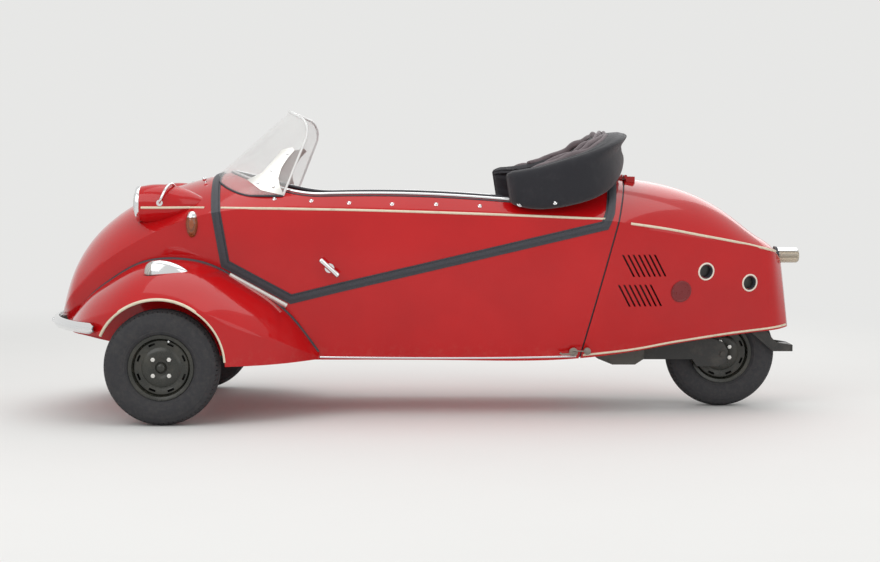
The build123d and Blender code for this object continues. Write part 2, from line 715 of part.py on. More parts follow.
def tyre(x, y):
    """A tyre with bulging sides, whose beads sit in the rim."""
    half, bead, flange = tyre_width / 2, bead_half - 0.5, rim_radius + 1
    edge = half - tread_edge_inset
    return revolve_y([
        [(bead, flange), (bead, bead_radius)], [(-bead, bead_radius), (-bead, flange)],
        [(-bead, flange), (-half, tyre_widest_radius), (-edge, tread_edge_radius)],
        [(-edge, tread_edge_radius), (0, tyre_radius), (edge, tread_edge_radius)],
        [(edge, tread_edge_radius), (half, tyre_widest_radius), (bead, flange)],
    ], x, y, axle_z)


def turned(points, side, x, y):
    """A solid turned about the wheel's axis, its offsets counted towards the outside."""
    return revolve_y(corner_runs([(side * offset, radius) for offset, radius in points]), x, y, axle_z)


def rim(x, y, side, nut_count, capped):
    """A rim with its pressed and slotted disc, drum and nuts, facing outwards on the given side."""
    seat, edge, near = bead_radius - fit_gap, rim_radius, bead_half + 0.5
    well = seat - rim_thickness
    solid = turned([(-near - rim_lip, edge), (-near, edge), (-near, seat), (near, seat), (near, edge),
                    (near + rim_lip, edge), (near + rim_lip, well), (-near - rim_lip, well)], 1, x, y)
    disc = turned(disc_profile, side, x, y)
    slot_inner, slot_outer = wheel_slot_radii
    for index in range(wheel_slot_count):
        middle = (index + 0.5) * 360 / wheel_slot_count
        corners = [(slot_inner, -1), (slot_outer, -1), (slot_outer, 0), (slot_outer, 1), (slot_inner, 1)]
        points = [(middle + turn * wheel_slot_angle, radius) for radius, turn in corners]
        disc = disc - side_prism([(x + r * math.cos(math.radians(a)), axle_z + r * math.sin(math.radians(a)))
                                  for a, r in points], y - bead_half, y + bead_half)
    solid = solid + disc + turned(drum_profile, side, x, y)
    for index in range(nut_count):
        turn = math.radians((index + 0.5) * 360 / nut_count)
        nut_x, nut_z = x + nut_circle * math.cos(turn), axle_z + nut_circle * math.sin(turn)
        hexagon = [(nut_x + nut_radius * math.cos(math.radians(60 * k)),
                    nut_z + nut_radius * math.sin(math.radians(60 * k))) for k in range(6)]
        solid = solid + side_prism(hexagon, *sorted((y + side * 25, y + side * 36)))
    bore_start, bore_end = sorted((y - side * beyond / 4, y + side * (30 if capped else beyond / 4)))
    if capped:
        solid = solid + turned(cap_profile, side, x, y)
    return solid - across(x, bore_start, axle_z, bore_radius, bore_end - bore_start)


# Columns: name, X, Y, which side faces out, nuts, and whether a cap closes the hub
for name, x, y, side, nuts, capped in (("front_left", front_axle_x, -wheel_y, -1, 4, True),
                                       ("front_right", front_axle_x, wheel_y, 1, 4, True),
                                       ("rear", rear_axle_x, 0, -1, 6, False)):
    write(f"{name}_tyre", tyre(x, y))
    write(f"{name}_wheel", rim(x, y, side, nuts, capped))

# Rear running gear: rails, engine block, chain case and arm, axle, silencer and rear bracket
rails = [lengthwise(bulkhead_x + wall, rail_end_x, y, rail_z, rail_radius) for y in (-rail_y, rail_y)]
write("rear_rails", rails)
engine_top_z = rail_z - rail_radius
engine_front_x, engine_rear_x = engine_outline[0][0], engine_outline[-1][0]
write("engine", side_prism([*engine_outline, (engine_rear_x, engine_top_z), (engine_front_x, engine_top_z)],
                           -engine_half, engine_half))
axle_bore = across(rear_axle_x, -beyond, axle_z, rear_axle_radius, 2 * beyond)
case = side_prism(case_outline, -arm_inner - case_thick, -arm_inner)
arm = side_prism(arm_outline, arm_inner, arm_inner + arm_thick)
write("swing_arm", [case - axle_bore, arm - axle_bore])
axle_left, axle_right = -arm_inner - case_thick - rear_axle_end, arm_inner + arm_thick + rear_axle_end
rear_axle = across(rear_axle_x, axle_left, axle_z, rear_axle_radius, axle_right - axle_left)
write("rear_axle", rear_axle + across(rear_axle_x, 1 - arm_inner, axle_z, stub_radius, 2 * arm_inner - 2))
rail_bracket = side_prism(bracket_bar, bracket_thick - rail_y, rail_y - bracket_thick)
for solid in both_sides(side_prism(bracket_plate, -rail_y, bracket_thick - rail_y)):
    rail_bracket = rail_bracket + solid
for rail in rails:
    rail_bracket = rail_bracket - rail
write("rear_bracket", rail_bracket)
silencer = lengthwise(*silencer_tubes[0])
for tube in silencer_tubes[1:]:
    silencer = silencer + lengthwise(*tube)
strap = box(strap_x, (rail_y, strap_y), (strap_foot_z, rail_z)) - rails[1]
write("silencer", silencer + strap)
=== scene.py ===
import json
import math

import bpy
import numpy as np
from mathutils import Euler, Matrix, Vector


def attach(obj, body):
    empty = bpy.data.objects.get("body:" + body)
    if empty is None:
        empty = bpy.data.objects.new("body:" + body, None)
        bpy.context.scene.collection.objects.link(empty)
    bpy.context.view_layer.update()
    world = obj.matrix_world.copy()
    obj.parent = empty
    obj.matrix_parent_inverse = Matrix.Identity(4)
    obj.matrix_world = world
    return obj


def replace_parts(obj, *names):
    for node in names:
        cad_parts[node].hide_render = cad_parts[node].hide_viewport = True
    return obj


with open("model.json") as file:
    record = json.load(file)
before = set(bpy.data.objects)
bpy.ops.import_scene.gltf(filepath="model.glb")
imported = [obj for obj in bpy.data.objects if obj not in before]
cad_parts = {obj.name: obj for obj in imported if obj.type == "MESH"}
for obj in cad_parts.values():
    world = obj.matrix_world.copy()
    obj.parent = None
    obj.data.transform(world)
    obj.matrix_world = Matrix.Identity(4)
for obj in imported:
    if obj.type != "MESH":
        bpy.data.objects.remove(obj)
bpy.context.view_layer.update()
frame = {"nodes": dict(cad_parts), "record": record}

# Open tandem microcar: metres, nose along -X, left side along -Y, ground at Z 0
nodes = frame["nodes"]
scene = bpy.context.scene
print("frame loaded:", len(nodes), "nodes")


# The photograph's view, from one point on the car's left
view = {
    "place": (0.04, -6.95, 0.91),
    "tiltDown": 3.607,          # degrees below level
    "focalPixels": 1840.0,
    "framePixels": 880.0,
    "sensor": 36.0,
}


def addCamera(v):
    data = bpy.data.cameras.new("photoCamera")
    data.sensor_width = v["sensor"]
    data.lens = v["focalPixels"] / v["framePixels"] * v["sensor"]
    camera = bpy.data.objects.new("photoCamera", data)
    camera.location = v["place"]
    camera.rotation_euler = (math.radians(90 - v["tiltDown"]), 0, 0)
    scene.collection.objects.link(camera)
    scene.camera = camera


addCamera(view)


# Shader sums: a Value stands for one socket, and each operator adds one Math node
class Value:
    def __init__(self, nodes, socket):
        self.nodes, self.socket = nodes, socket

    def sum(self, operation, *others):
        return self.nodes.node("ShaderNodeMath", {"operation": operation}, dict(enumerate((self, *others))))

    def __add__(self, other):
        return self.sum("ADD", other)

    def __sub__(self, other):
        return self.sum("SUBTRACT", other)

    def __mul__(self, other):
        return self.sum("MULTIPLY", other)

    def __pow__(self, other):
        return self.sum("POWER", other)

    def __rsub__(self, other):
        return (self * -1.0) + other

    def smooth(self, low, high):
        # a soft step from 0 at low to 1 at high
        return self.nodes.node("ShaderNodeMapRange", {"interpolation_type": "SMOOTHSTEP"},
                               {"Value": self, "From Min": low, "From Max": high})


class Nodes:
    # A node tree: node() adds any node, with its settings and its inputs, and gives one output
    def __init__(self, tree):
        self.tree = tree

    def give(self, socket, given):
        if isinstance(given, Value):
            self.tree.links.new(given.socket, socket)
        else:
            socket.default_value = given

    def node(self, kind, settings=None, inputs=None, out=0):
        made = self.tree.nodes.new(kind)
        for key, setting in (settings or {}).items():
            setattr(made, key, setting)
        for key, given in (inputs or {}).items():
            self.give(made.inputs[key], given)
        return Value(self, made.outputs[out])

    def seenRays(self):
        # 1 for the rays that show the backdrop itself, 0 for those that only light the scene
        camera, glossy, through = (self.node("ShaderNodeLightPath", out=f"Is {ray} Ray")
                                   for ray in ("Camera", "Glossy", "Transmission"))
        return camera.sum("MAXIMUM", glossy).sum("MAXIMUM", through)


class Paint(Nodes):
    # One material, with its shader and a few shorthand nodes
    def __init__(self, name, **constants):
        self.material = bpy.data.materials.new(name)
        self.material.use_nodes = True
        super().__init__(self.material.node_tree)
        self.shader = self.tree.nodes["Principled BSDF"]
        self.feed(**constants)

    def place(self, scale=(1, 1, 1)):
        where = self.node("ShaderNodeTexCoord", out="Object")
        return self.node("ShaderNodeMapping", {}, {"Vector": where, "Scale": scale})

    def noise(self, scale, detail=4.0, rough=0.55, stretch=(1, 1, 1)):
        return self.node("ShaderNodeTexNoise", {}, {"Vector": self.place(stretch), "Scale": scale,
                                                    "Detail": detail, "Roughness": rough})

    def grain(self, noise, step=None):
        # noise from its arguments, through a soft step where one is given
        made = self.noise(*noise)
        return made.smooth(*step) if step else made

    def wave(self, scale, axis):
        return self.node("ShaderNodeTexWave", {"bands_direction": axis},
                         {"Vector": self.place(), "Scale": scale})

    def axis(self, name):
        where = self.node("ShaderNodeTexCoord", out="Object")
        return self.node("ShaderNodeSeparateXYZ", {}, {0: where}, name)

    def mix(self, amount, one, two):
        one, two = (given if isinstance(given, Value) else (*given, 1.0) for given in (one, two))
        return self.node("ShaderNodeMix", {"data_type": "RGBA"}, {0: amount, 6: one, 7: two}, 2)

    def bump(self, height, distance, strength, **under):
        return self.node("ShaderNodeBump", {}, {"Height": height, "Distance": distance,
                                                "Strength": strength, **under})

    def feed(self, **values):
        for name, given in values.items():
            self.give(self.shader.inputs[name.replace("_", " ")], given)
        return self


finishes = {
    "redBright": (0.54, 0.006, 0.008),
    "redDeep": (0.46, 0.004, 0.006),
    "cream": (0.74, 0.66, 0.50),
    "amber": (0.42, 0.10, 0.015),
    "dust": (0.42, 0.36, 0.28),
}


def redEnamel():
    # Glossy brushed-on enamel: slow colour drift, orange peel, a little road dust low down
    p = Paint("redEnamel", Coat_Weight=0.6, Coat_Roughness=0.03, Coat_IOR=1.5, Specular_IOR_Level=0.15)
    low = 1.0 - p.axis("Z").smooth(0.19, 0.30)
    grime = p.grain((38.0, 6.0, 0.7), (0.45, 0.75)) * low * 0.08
    colour = p.mix(p.grain((3.2, 3.0), (0.2, 0.8)), finishes["redDeep"], finishes["redBright"])
    rough = p.grain((9.0, 5.0), (0.3, 0.8)) * 0.10 + 0.14 + grime * 0.5
    return p.feed(Base_Color=p.mix(grime, colour, finishes["dust"]), Roughness=rough,
                  Normal=p.bump(p.noise(260.0, 2.0), 0.00035, 0.22))


def layered(name, base, layers, rough, bump=None, **constants):
    # A base colour under layers: each one's noise, soft step, share, colour, and what it adds to roughness.
    # rough: a noise, how much of it, and the level. bump: a noise, soft step, distance and strength
    p = Paint(name, **constants)
    noise, gain, level = rough
    roughness = p.noise(*noise) * gain + level if noise else level
    colour = base
    for grain, step, share, tint, added in layers:
        patch = p.grain(grain, step)
        colour = p.mix(patch * share, colour, tint)
        roughness = patch * added + roughness
    if bump:
        p.feed(Normal=p.bump(p.grain(*bump[:2]), *bump[2:]))
    return p.feed(Base_Color=colour, Roughness=roughness)


def wornPaint(name, base, worn, level):
    # Satin enamel, dusty in patches and thin where stones have chipped it
    layers = [((14.0, 6.0, 0.65), (0.42, 0.72), 0.55, worn, 0.25),
              ((220.0, 3.0, 0.7), (0.66, 0.70), 0.5, (0.16, 0.13, 0.10), 0.2)]
    return layered(name, base, layers, (None, 0, level), ((90.0, 4.0), None, 0.0008, 0.25))


def clearSheet(name, tint, level, alpha):
    smear = (7.0, 6.0, 0.7), (0.5, 0.85)
    p = layered(name, tint, [(*smear, 1.0, (0.80, 0.80, 0.78), 0.12)], (None, 0, level),
                ((6.0, 2.0), None, 0.002, 0.15), IOR=1.46, Coat_Weight=0.3)
    return p.feed(Alpha=p.grain(*smear) * 0.10 + alpha)


def lampGlass(name, colour, ribs):
    # Moulded lamp glass with upright flutes
    p = Paint(name, Transmission_Weight=0.35, IOR=1.5, Coat_Weight=0.6)
    flutes = p.wave(ribs, "Y")
    return p.feed(Base_Color=p.mix(flutes, tuple(c * 0.55 for c in colour), colour),
                  Roughness=p.noise(30.0) * 0.1 + 0.06, Normal=p.bump(flutes, 0.0015, 0.6))


def leathercloth():
    wear = [((6.0, 5.0), (0.4, 0.75), 0.6, (0.30, 0.05, 0.045), 0.15)]
    p = layered("leathercloth", (0.19, 0.016, 0.016), wear, (None, 0, 0.38), Sheen_Weight=0.15,
                Specular_IOR_Level=0.4)
    cells = p.node("ShaderNodeTexVoronoi", {}, {"Vector": p.place(), "Scale": 420.0})
    return p.feed(Normal=p.bump(cells, 0.0006, 0.5))


def hoodCloth(name, base, faded):
    # Double-texture hood cloth: a fine weave, faded where it is folded
    p = layered(name, base, [((16.0, 6.0, 0.7), (0.48, 0.8), 0.5, faded, 0.15)], (None, 0, 0.68),
                Sheen_Weight=0.25, Sheen_Roughness=0.5, Specular_IOR_Level=0.25)
    folds = p.bump(p.noise(22.0, 4.0, 0.6), 0.004, 0.5)
    return p.feed(Normal=p.bump(p.wave(900.0, "X") * p.wave(900.0, "Z"), 0.0006, 0.4, Normal=folds))


def ribbedMat():
    dirt = [((20.0, 6.0, 0.7), (0.4, 0.75), 0.6, (0.13, 0.11, 0.085), 0.15)]
    p = layered("floorMat", (0.030, 0.030, 0.031), dirt, (None, 0, 0.7), Specular_IOR_Level=0.25)
    return p.feed(Normal=p.bump(p.wave(160.0, "Y"), 0.0016, 0.6))


paints = {slot: p.material for slot, p in {
    "red_paint": redEnamel(),
    "chrome_trim": layered("chromePlate", (0.80, 0.81, 0.82), [
        ((160.0, 5.0, 0.7), (0.58, 0.72), 0.35, (0.42, 0.40, 0.37), 0.2)],
        ((24.0, 4.0), 0.14, 0.05), ((70.0, 2.0), None, 0.0006, 0.15), Metallic=1.0),
    # black rubber: blue-grey mottling, partly weathered rubber and partly a painted reflection of the sky
    "black_rubber": layered("blackRubberSkyReflection", (0.030, 0.032, 0.040), [
        ((180.0, 6.0, 0.7), (0.3, 0.8), 1.0, (0.062, 0.066, 0.080), 0)],
        ((180.0, 6.0, 0.7), 0.2, 0.34), ((180.0, 6.0, 0.7), None, 0.0006, 0.4), Specular_IOR_Level=0.45),
    "cream_bead": layered("creamBead", finishes["cream"], [
        ((55.0, 5.0, 0.7), (0.45, 0.8), 0.5, (0.42, 0.33, 0.22), 0.3)],
        (None, 0, 0.35), ((55.0, 5.0, 0.7), (0.45, 0.8), 0.0004, 0.3), Coat_Weight=0.2),
    "pale_metal": layered("paleMetal", (0.62, 0.61, 0.58), [
        ((420.0, 3.0, 0.6, (0.12, 1, 1)), None, 1.0, (0.82, 0.81, 0.78), 0.2)],
        (None, 0, 0.26), ((420.0, 3.0, 0.6, (0.12, 1, 1)), None, 0.0003, 0.3), Metallic=0.85),
    "engine_alloy": layered("castAlloy", (0.11, 0.105, 0.095), [
        ((11.0, 5.0, 0.7), (0.45, 0.7), 0.85, (0.020, 0.018, 0.016), -0.12)],
        (None, 0, 0.52), ((300.0, 5.0, 0.7), None, 0.0009, 0.5), Metallic=0.5),
    "tyre_rubber": layered("tyreRubber", (0.034, 0.034, 0.038), [
        ((60.0, 6.0, 0.7), (0.35, 0.80), 0.5, (0.075, 0.070, 0.066), 0)],
        ((320.0, 4.0, 0.7), 0.2, 0.62), ((320.0, 4.0, 0.7), None, 0.0006, 0.5), Specular_IOR_Level=0.3),
    "gauge_black": layered("dialBlack", (0.012, 0.012, 0.013), [
        ((60.0, 4.0), None, 1.0, (0.030, 0.030, 0.030), 0.2)], (None, 0, 0.2), Coat_Weight=0.4),
    "dark_metal": wornPaint("blackPaint", (0.020, 0.020, 0.019), (0.095, 0.088, 0.075), 0.34),
    "wheel_paint": wornPaint("wheelPaint", (0.022, 0.023, 0.019), (0.075, 0.070, 0.055), 0.26),
    "port_trim": wornPaint("portTrim", (0.84, 0.76, 0.66), (0.66, 0.56, 0.46), 0.26),
    "marker_red": wornPaint("markerRed", (0.17, 0.006, 0.009), (0.22, 0.020, 0.022), 0.22),
    "worn_steel": wornPaint("wornSteel", (0.20, 0.18, 0.155), (0.42, 0.36, 0.30), 0.42),
    "clear_glass": clearSheet("clearSheet", (0.93, 0.95, 0.94), 0.03, 0.16),
    # sheet_edge: near-white and mostly opaque, a painted highlight along the screen's edge
    "sheet_edge": clearSheet("sheetEdgeHighlight", (0.96, 0.97, 0.97), 0.06, 0.75),
    "lamp_glass": lampGlass("lampGlass", (0.86, 0.84, 0.78), 95.0),
    "amber_lens": lampGlass("amberLens", finishes["amber"], 60.0),
    "red_lens": lampGlass("redLens", (0.20, 0.012, 0.012), 220.0),
    "tail_glass": lampGlass("tailGlass", (0.72, 0.62, 0.46), 60.0),
    "black_fabric": hoodCloth("hoodCloth", (0.016, 0.016, 0.021), (0.050, 0.048, 0.054)),
    # hood_lining: pale pinkish cloth, partly the hood's lining and partly a painted highlight of the sun-lit
    # top of the folds
    "hood_lining": hoodCloth("hoodLiningHighlight", (0.17, 0.14, 0.15), (0.34, 0.28, 0.29)),
    "seat_leather": leathercloth(), "floor_mat": ribbedMat(),
}.items()}
print("materials made:", len(paints))


# Meshes from grids of points
def finish(piece, body=None, slot=None, smooth=True, angle=40.0, node=None):
    # Shading, paint, body, and the CAD node whose place the piece takes
    if smooth:
        piece.data.shade_smooth()
        piece.data.set_sharp_from_angle(angle=math.radians(angle))
    if slot:
        piece.data.materials.clear()
        piece.data.materials.append(paints[slot])
        slot in slotNames
    if body:
        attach(piece, body)
    if node:
        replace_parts(piece, node)
    return piece


slotNames = {m["slot"] for m in frame["record"]["materials"]}
sides = ((-1, "Left"), (1, "Right"))


def shellPiece(name, grid, body=None, slot=None, closeRows=False, **more):
    # A grid of points (rows, columns, 3), closed round its columns: quads between neighbours (i, j),
    # (i+1, j), (i+1, j+1), (i, j+1). Its end rings are joined, or closed with one face each
    rows, columns = grid.shape[:2]
    i, j = np.meshgrid(np.arange(rows if closeRows else rows - 1), np.arange(columns), indexing="ij")
    below, beside = (i + 1) % rows, (j + 1) % columns
    quads = np.stack([row * columns + column
                      for row, column in ((i, j), (below, j), (below, beside), (i, beside))], -1)
    faces = quads.reshape(-1, 4).tolist()
    if not closeRows:
        faces += [list(range(columns)), list(range(rows * columns - 1, (rows - 1) * columns - 1, -1))]
    mesh = bpy.data.meshes.new(name)
    mesh.from_pydata(grid.reshape(-1, 3).tolist(), [], faces)
    mesh.validate()
    piece = addPiece(name, mesh)
    if signedVolume(piece) < 0:
        mesh.flip_normals()
    return finish(piece, body, slot, **more)


def addPiece(name, mesh):
    piece = bpy.data.objects.new(name, mesh)
    scene.collection.objects.link(piece)
    return piece


def pointsOf(piece):
    points = np.empty(len(piece.data.vertices) * 3)
    piece.data.vertices.foreach_get("co", points)
    return points.reshape(-1, 3)


def movePoints(piece, points):
    piece.data.vertices.foreach_set("co", points.ravel())


def signedVolume(piece):
    # Sum over triangles of a . (b x c) / 6
    mesh = piece.data
    mesh.calc_loop_triangles()
    corners = np.empty(len(mesh.loop_triangles) * 3, int)
    mesh.loop_triangles.foreach_get("vertices", corners)
    a, b, c = pointsOf(piece)[corners.reshape(-1, 3)].transpose(1, 0, 2)
    return float(np.einsum("ij,ij->i", a, np.cross(b, c)).sum() / 6)


def carve(piece, cutter, operation="DIFFERENCE"):
    # One boolean, applied at once
    step = piece.modifiers.new("cut", "BOOLEAN")
    step.operation, step.object, step.solver = operation, cutter, "MANIFOLD"
    bake(piece)
    bpy.data.objects.remove(cutter)
    return piece


def bake(piece):
    # The mesh takes the form that the modifiers give it
    mesh = bpy.data.meshes.new_from_object(piece.evaluated_get(bpy.context.evaluated_depsgraph_get()))
    piece.modifiers.clear()
    old, piece.data = piece.data, mesh
    bpy.data.meshes.remove(old)


def copyPiece(piece, name):
    return addPiece(name, piece.data.copy())


def placed(piece, place, side):
    # Moves the mesh itself, mirrored for a piece on the right
    movePoints(piece, pointsOf(piece) * (1, -side, 1) + place)
    if side > 0:
        piece.data.flip_normals()


def lathe(profile, centre, axis, segments):
    # Points (along, radius) carried round an axis: centre + along * axis + radius * (cos, sin) across it
    axis = np.array(axis, float) / np.linalg.norm(axis)
    side = np.cross(axis, (0, 0, 1.0) if abs(axis[2]) < 0.9 else (1.0, 0, 0))
    side /= np.linalg.norm(side)
    up = np.cross(axis, side)
    turn = np.linspace(0, 2 * np.pi, segments, endpoint=False)[None, :, None]
    along, radius = np.array(profile, float).T[:, :, None, None]
    return np.array(centre, float) + along * axis + radius * (np.cos(turn) * side + np.sin(turn) * up)


def turned(name, form, place, axis, segments, body=None, slot=None, **more):
    return shellPiece(name, lathe(form, place, axis, segments), body, slot, **more)


def runAlong(points):
    # Length run along a path up to each of its points
    return np.r_[0, np.cumsum(np.hypot(*np.diff(points, axis=0).T))]


def sweep(path, profile, up=(0, 0, 1.0)):
    # A closed profile (across, up) carried along a path of points, square to it
    path, profile = np.asarray(path, float), np.asarray(profile, float)
    ahead = np.gradient(path, axis=0)
    ahead /= np.linalg.norm(ahead, axis=1, keepdims=True)
    up = np.broadcast_to(np.asarray(up, float), path.shape)
    across = np.cross(ahead, up)
    across /= np.linalg.norm(across, axis=1, keepdims=True)
    above = np.cross(across, ahead)
    return (path[:, None] + profile[None, :, :1] * across[:, None] + profile[None, :, 1:] * above[:, None])


def ring(radius, count=12, flat=1.0):
    # A round or flattened profile
    turn = np.linspace(0, 2 * np.pi, count, endpoint=False)
    return np.stack([radius * np.cos(turn), radius * flat * np.sin(turn)], -1)


def spline(x, values, wanted):
    # Natural cubic spline through values at x, one column at a time
    x, values, wanted = np.asarray(x, float), np.asarray(values, float), np.asarray(wanted, float)
    n, h = len(x), np.diff(x)
    system, right = np.eye(n), np.zeros((n, values.shape[1]))
    inside = np.arange(1, n - 1)
    system[inside, inside - 1], system[inside, inside + 1] = h[:-1], h[1:]
    system[inside, inside] = 2 * (h[:-1] + h[1:])
    slope = np.diff(values, axis=0) / h[:, None]
    right[1:-1] = 6 * np.diff(slope, axis=0)
    bend = np.linalg.solve(system, right)
    k = np.clip(np.searchsorted(x, wanted) - 1, 0, n - 2)
    a, b = (x[k + 1] - wanted)[:, None], (wanted - x[k])[:, None]
    step = h[k][:, None]
    return ((bend[k] * a ** 3 + bend[k + 1] * b ** 3) / (6 * step)
            + (values[k] / step - bend[k] * step / 6) * a
            + (values[k + 1] / step - bend[k + 1] * step / 6) * b)


def arcThrough(a, m, b, s):
    # Points at share s of the circular arc from a by way of m to b; a, m and b are rows of (y, z)
    ax, ay, mx, my, bx, by = (*a.T, *m.T, *b.T)
    d = 2 * (ax * (my - by) + mx * (by - ay) + bx * (ay - my))
    a2, m2, b2 = ax ** 2 + ay ** 2, mx ** 2 + my ** 2, bx ** 2 + by ** 2
    cx = (a2 * (my - by) + m2 * (by - ay) + b2 * (ay - my)) / d
    cy = (a2 * (bx - mx) + m2 * (ax - bx) + b2 * (mx - ax)) / d
    start, middle, end = (np.arctan2(q - cy, p - cx) for p, q in ((ax, ay), (mx, my), (bx, by)))
    wrap = lambda t: (t + np.pi) % (2 * np.pi) - np.pi
    sweepAngle = wrap(middle - start) + wrap(end - middle)
    radius = np.hypot(ax - cx, ay - cy)
    angle = start[:, None] + sweepAngle[:, None] * s[None, :]
    return np.stack([cx[:, None] + radius[:, None] * np.cos(angle),
                     cy[:, None] + radius[:, None] * np.sin(angle)], -1)


# The hull, in metres. Columns: X, floor half width, floor Z, waist half width, waist Z, crown Z, side bulge,
# and how far the section leans: X changes by that much for each metre above leanFrom
hull = {
    "sections": np.array([
        (-1374, 46, 326, 66, 352, 384, 2, 0), (-1340, 120, 300, 172, 400, 492, 8, 0),
        (-1284, 168, 284, 238, 462, 604, 12, 0), (-1200, 204, 268, 290, 540, 696, 16, 0),
        (-1080, 222, 252, 326, 620, 776, 18, 0), (-930, 236, 240, 346, 694, 834, 20, 0),
        (-760, 262, 216, 359, 742, 880, 22, 0), (-450, 292, 204, 368, 752, 932, 22, 0),
        (100, 300, 203, 371, 738, 934, 20, 0), (520, 286, 206, 362, 721, 888, 20, 0),
        (760, 250, 232, 342, 696, 858, 18, 0), (960, 198, 262, 274, 660, 812, 16, 0),
        (1120, 152, 280, 206, 630, 728, 12, 0), (1240, 114, 292, 152, 606, 644, 8, -40),
        (1296, 90, 298, 118, 594, 610, 5, -90), (1332, 44, 304, 56, 556, 572, 3, -120)]) / 1000,
    "leanFrom": 0.430,
    "wall": 0.012,
    "rows": 240,
    "floorPoints": 12, "sidePoints": 28, "crownPoints": 60,
}


def hullRow(x, grow=0.0):
    # Each section is a floor line, a side arc, a crown arc and a side arc, from the left foot round
    x = np.atleast_1d(x)
    rows = spline(hull["sections"][:, 0], hull["sections"][:, 1:], x)
    floorHalf, floorZ, waistHalf, waistZ, crownZ, bulge, lean = rows.T
    floorHalf, waistHalf, floorZ, crownZ = floorHalf + grow, waistHalf + grow, floorZ - grow, crownZ + grow
    pair = lambda y, z: np.stack([y, z], -1)
    foot, waist = pair(floorHalf, floorZ), pair(waistHalf, waistZ)
    side = pair((floorHalf + waistHalf) / 2 + bulge, (floorZ + waistZ) / 2)
    flip = np.array([-1.0, 1.0])
    s = lambda n: np.arange(n) / n
    floorShare = s(hull["floorPoints"])[None, :, None]
    floor = (foot * flip)[:, None] * (1 - floorShare) + foot[:, None] * floorShare
    right = arcThrough(foot, side, waist, s(hull["sidePoints"]))
    crown = arcThrough(waist, pair(0 * crownZ, crownZ), waist * flip, s(hull["crownPoints"]))
    left = arcThrough(waist * flip, side * flip, foot * flip, s(hull["sidePoints"]))
    loop = np.concatenate([floor, right, crown, left], 1)
    along = x[:, None] + lean[:, None] * (loop[..., 1] - hull["leanFrom"])
    return np.concatenate([along[..., None], loop], -1)


def hullPiece(name, grow):
    low, high = hull["sections"][0, 0] - grow, hull["sections"][-1, 0] + grow
    share = (1 - np.cos(np.linspace(0, np.pi, hull["rows"]))) / 2
    x = low + (high - low) * (0.35 * share + 0.65 * np.linspace(0, 1, hull["rows"]))
    inside = np.clip(x, hull["sections"][0, 0], hull["sections"][-1, 0])
    grid = hullRow(inside, grow)
    grid[..., 0] += (x - inside)[:, None]
    return shellPiece(name, grid)


def flank(x, z, grow=0.0):
    # How far out the hull's side or crown lies at a length and height, allowing for the sections' lean
    sections = hull["sections"]
    x = np.atleast_1d(x) - np.interp(x, sections[:, 0], sections[:, -1]) * (z - hull["leanFrom"])
    grid = hullRow(np.clip(x, sections[0, 0], sections[-1, 0]), grow)
    half = hull["floorPoints"]
    out = grid[:, half:half + hull["sidePoints"] + hull["crownPoints"] // 2, 1:]
    return np.array([np.interp(h, row[:, 1], row[:, 0]) for row, h in zip(out, np.broadcast_to(z, len(out)))])


def crownAt(x, y, grow=0.0):
    # Height of the crown at a length and an offset from the middle
    grid = hullRow(np.atleast_1d(x), grow)
    start = hull["floorPoints"] + hull["sidePoints"]
    top = grid[:, start:start + hull["crownPoints"], 1:][:, ::-1]
    return np.array([np.interp(w, row[:, 0], row[:, 1]) for row, w in zip(top, np.broadcast_to(y, len(top)))])


cuts = {
    "seamFoot": (0.554, 0.244), "seamLean": 0.27, "gap": 0.006,
    "canopyEdge": [(-0.794, 0.860), (-0.742, 0.548), (-0.498, 0.416), (-0.319, 0.460),
                   (0.640, 0.684), (0.664, 0.738), (0.686, 0.850)],
    "hingeZ": 0.716,
    "openingHalf": 0.322, "openingFront": -0.735, "openingRear": 0.600, "openingCorner": 0.150,
    "bulkheadX": 0.500, "bulkheadTop": 0.640,
    "far": 1.6, "low": 0.1, "high": 1.2, "side": 0.7,
}


def seamX(z):
    return cuts["seamFoot"][0] + cuts["seamLean"] * (z - cuts["seamFoot"][1])


def prism(name, outline, start, end, along="y"):
    # An outline of (x, z) or (x, y) points, carried from start to end across it
    outline = np.asarray(outline, float)
    rows = []
    for level in (start, end):
        flat = np.full((len(outline), 1), level)
        rows.append(np.hstack([outline[:, :1], flat, outline[:, 1:]] if along == "y" else [outline, flat]))
    return shellPiece(name, np.array(rows))


def box(x0, x1, low, top):
    return [(x0, low), (x1, low), (x1, top), (x0, top)]


def grown(outline, amount):
    # Moves each side of a closed outline outwards by amount and meets them again at the corners
    points = np.asarray(outline, float)
    ahead = np.roll(points, -1, 0) - points
    ahead /= np.linalg.norm(ahead, axis=1, keepdims=True)
    area = np.sum(points[:, 0] * np.roll(points[:, 1], -1) - np.roll(points[:, 0], -1) * points[:, 1])
    out = np.stack([ahead[:, 1], -ahead[:, 0]], -1) * np.sign(area)
    before, after = np.roll(out, 1, 0), out
    bisector = before + after
    reach = amount * 2 / np.sum(bisector ** 2, 1, keepdims=True)
    return points + bisector * reach


def canopyRegion(name, grow):
    edge = cuts["canopyEdge"]
    outline = [(edge[0][0] - 0.03, cuts["high"]), *edge, (edge[-1][0] + 0.09, cuts["high"])]
    outline = grown(outline, grow)
    left = prism(name, outline, -cuts["side"], 0.0002)
    right = prism(name + "Right", outline, 0, cuts["side"])
    lift = prism("lift", box(-cuts["far"], cuts["far"], cuts["hingeZ"] - grow, 2), -0.1, 1)
    carve(right, lift, "INTERSECT")
    return carve(left, right, "UNION")


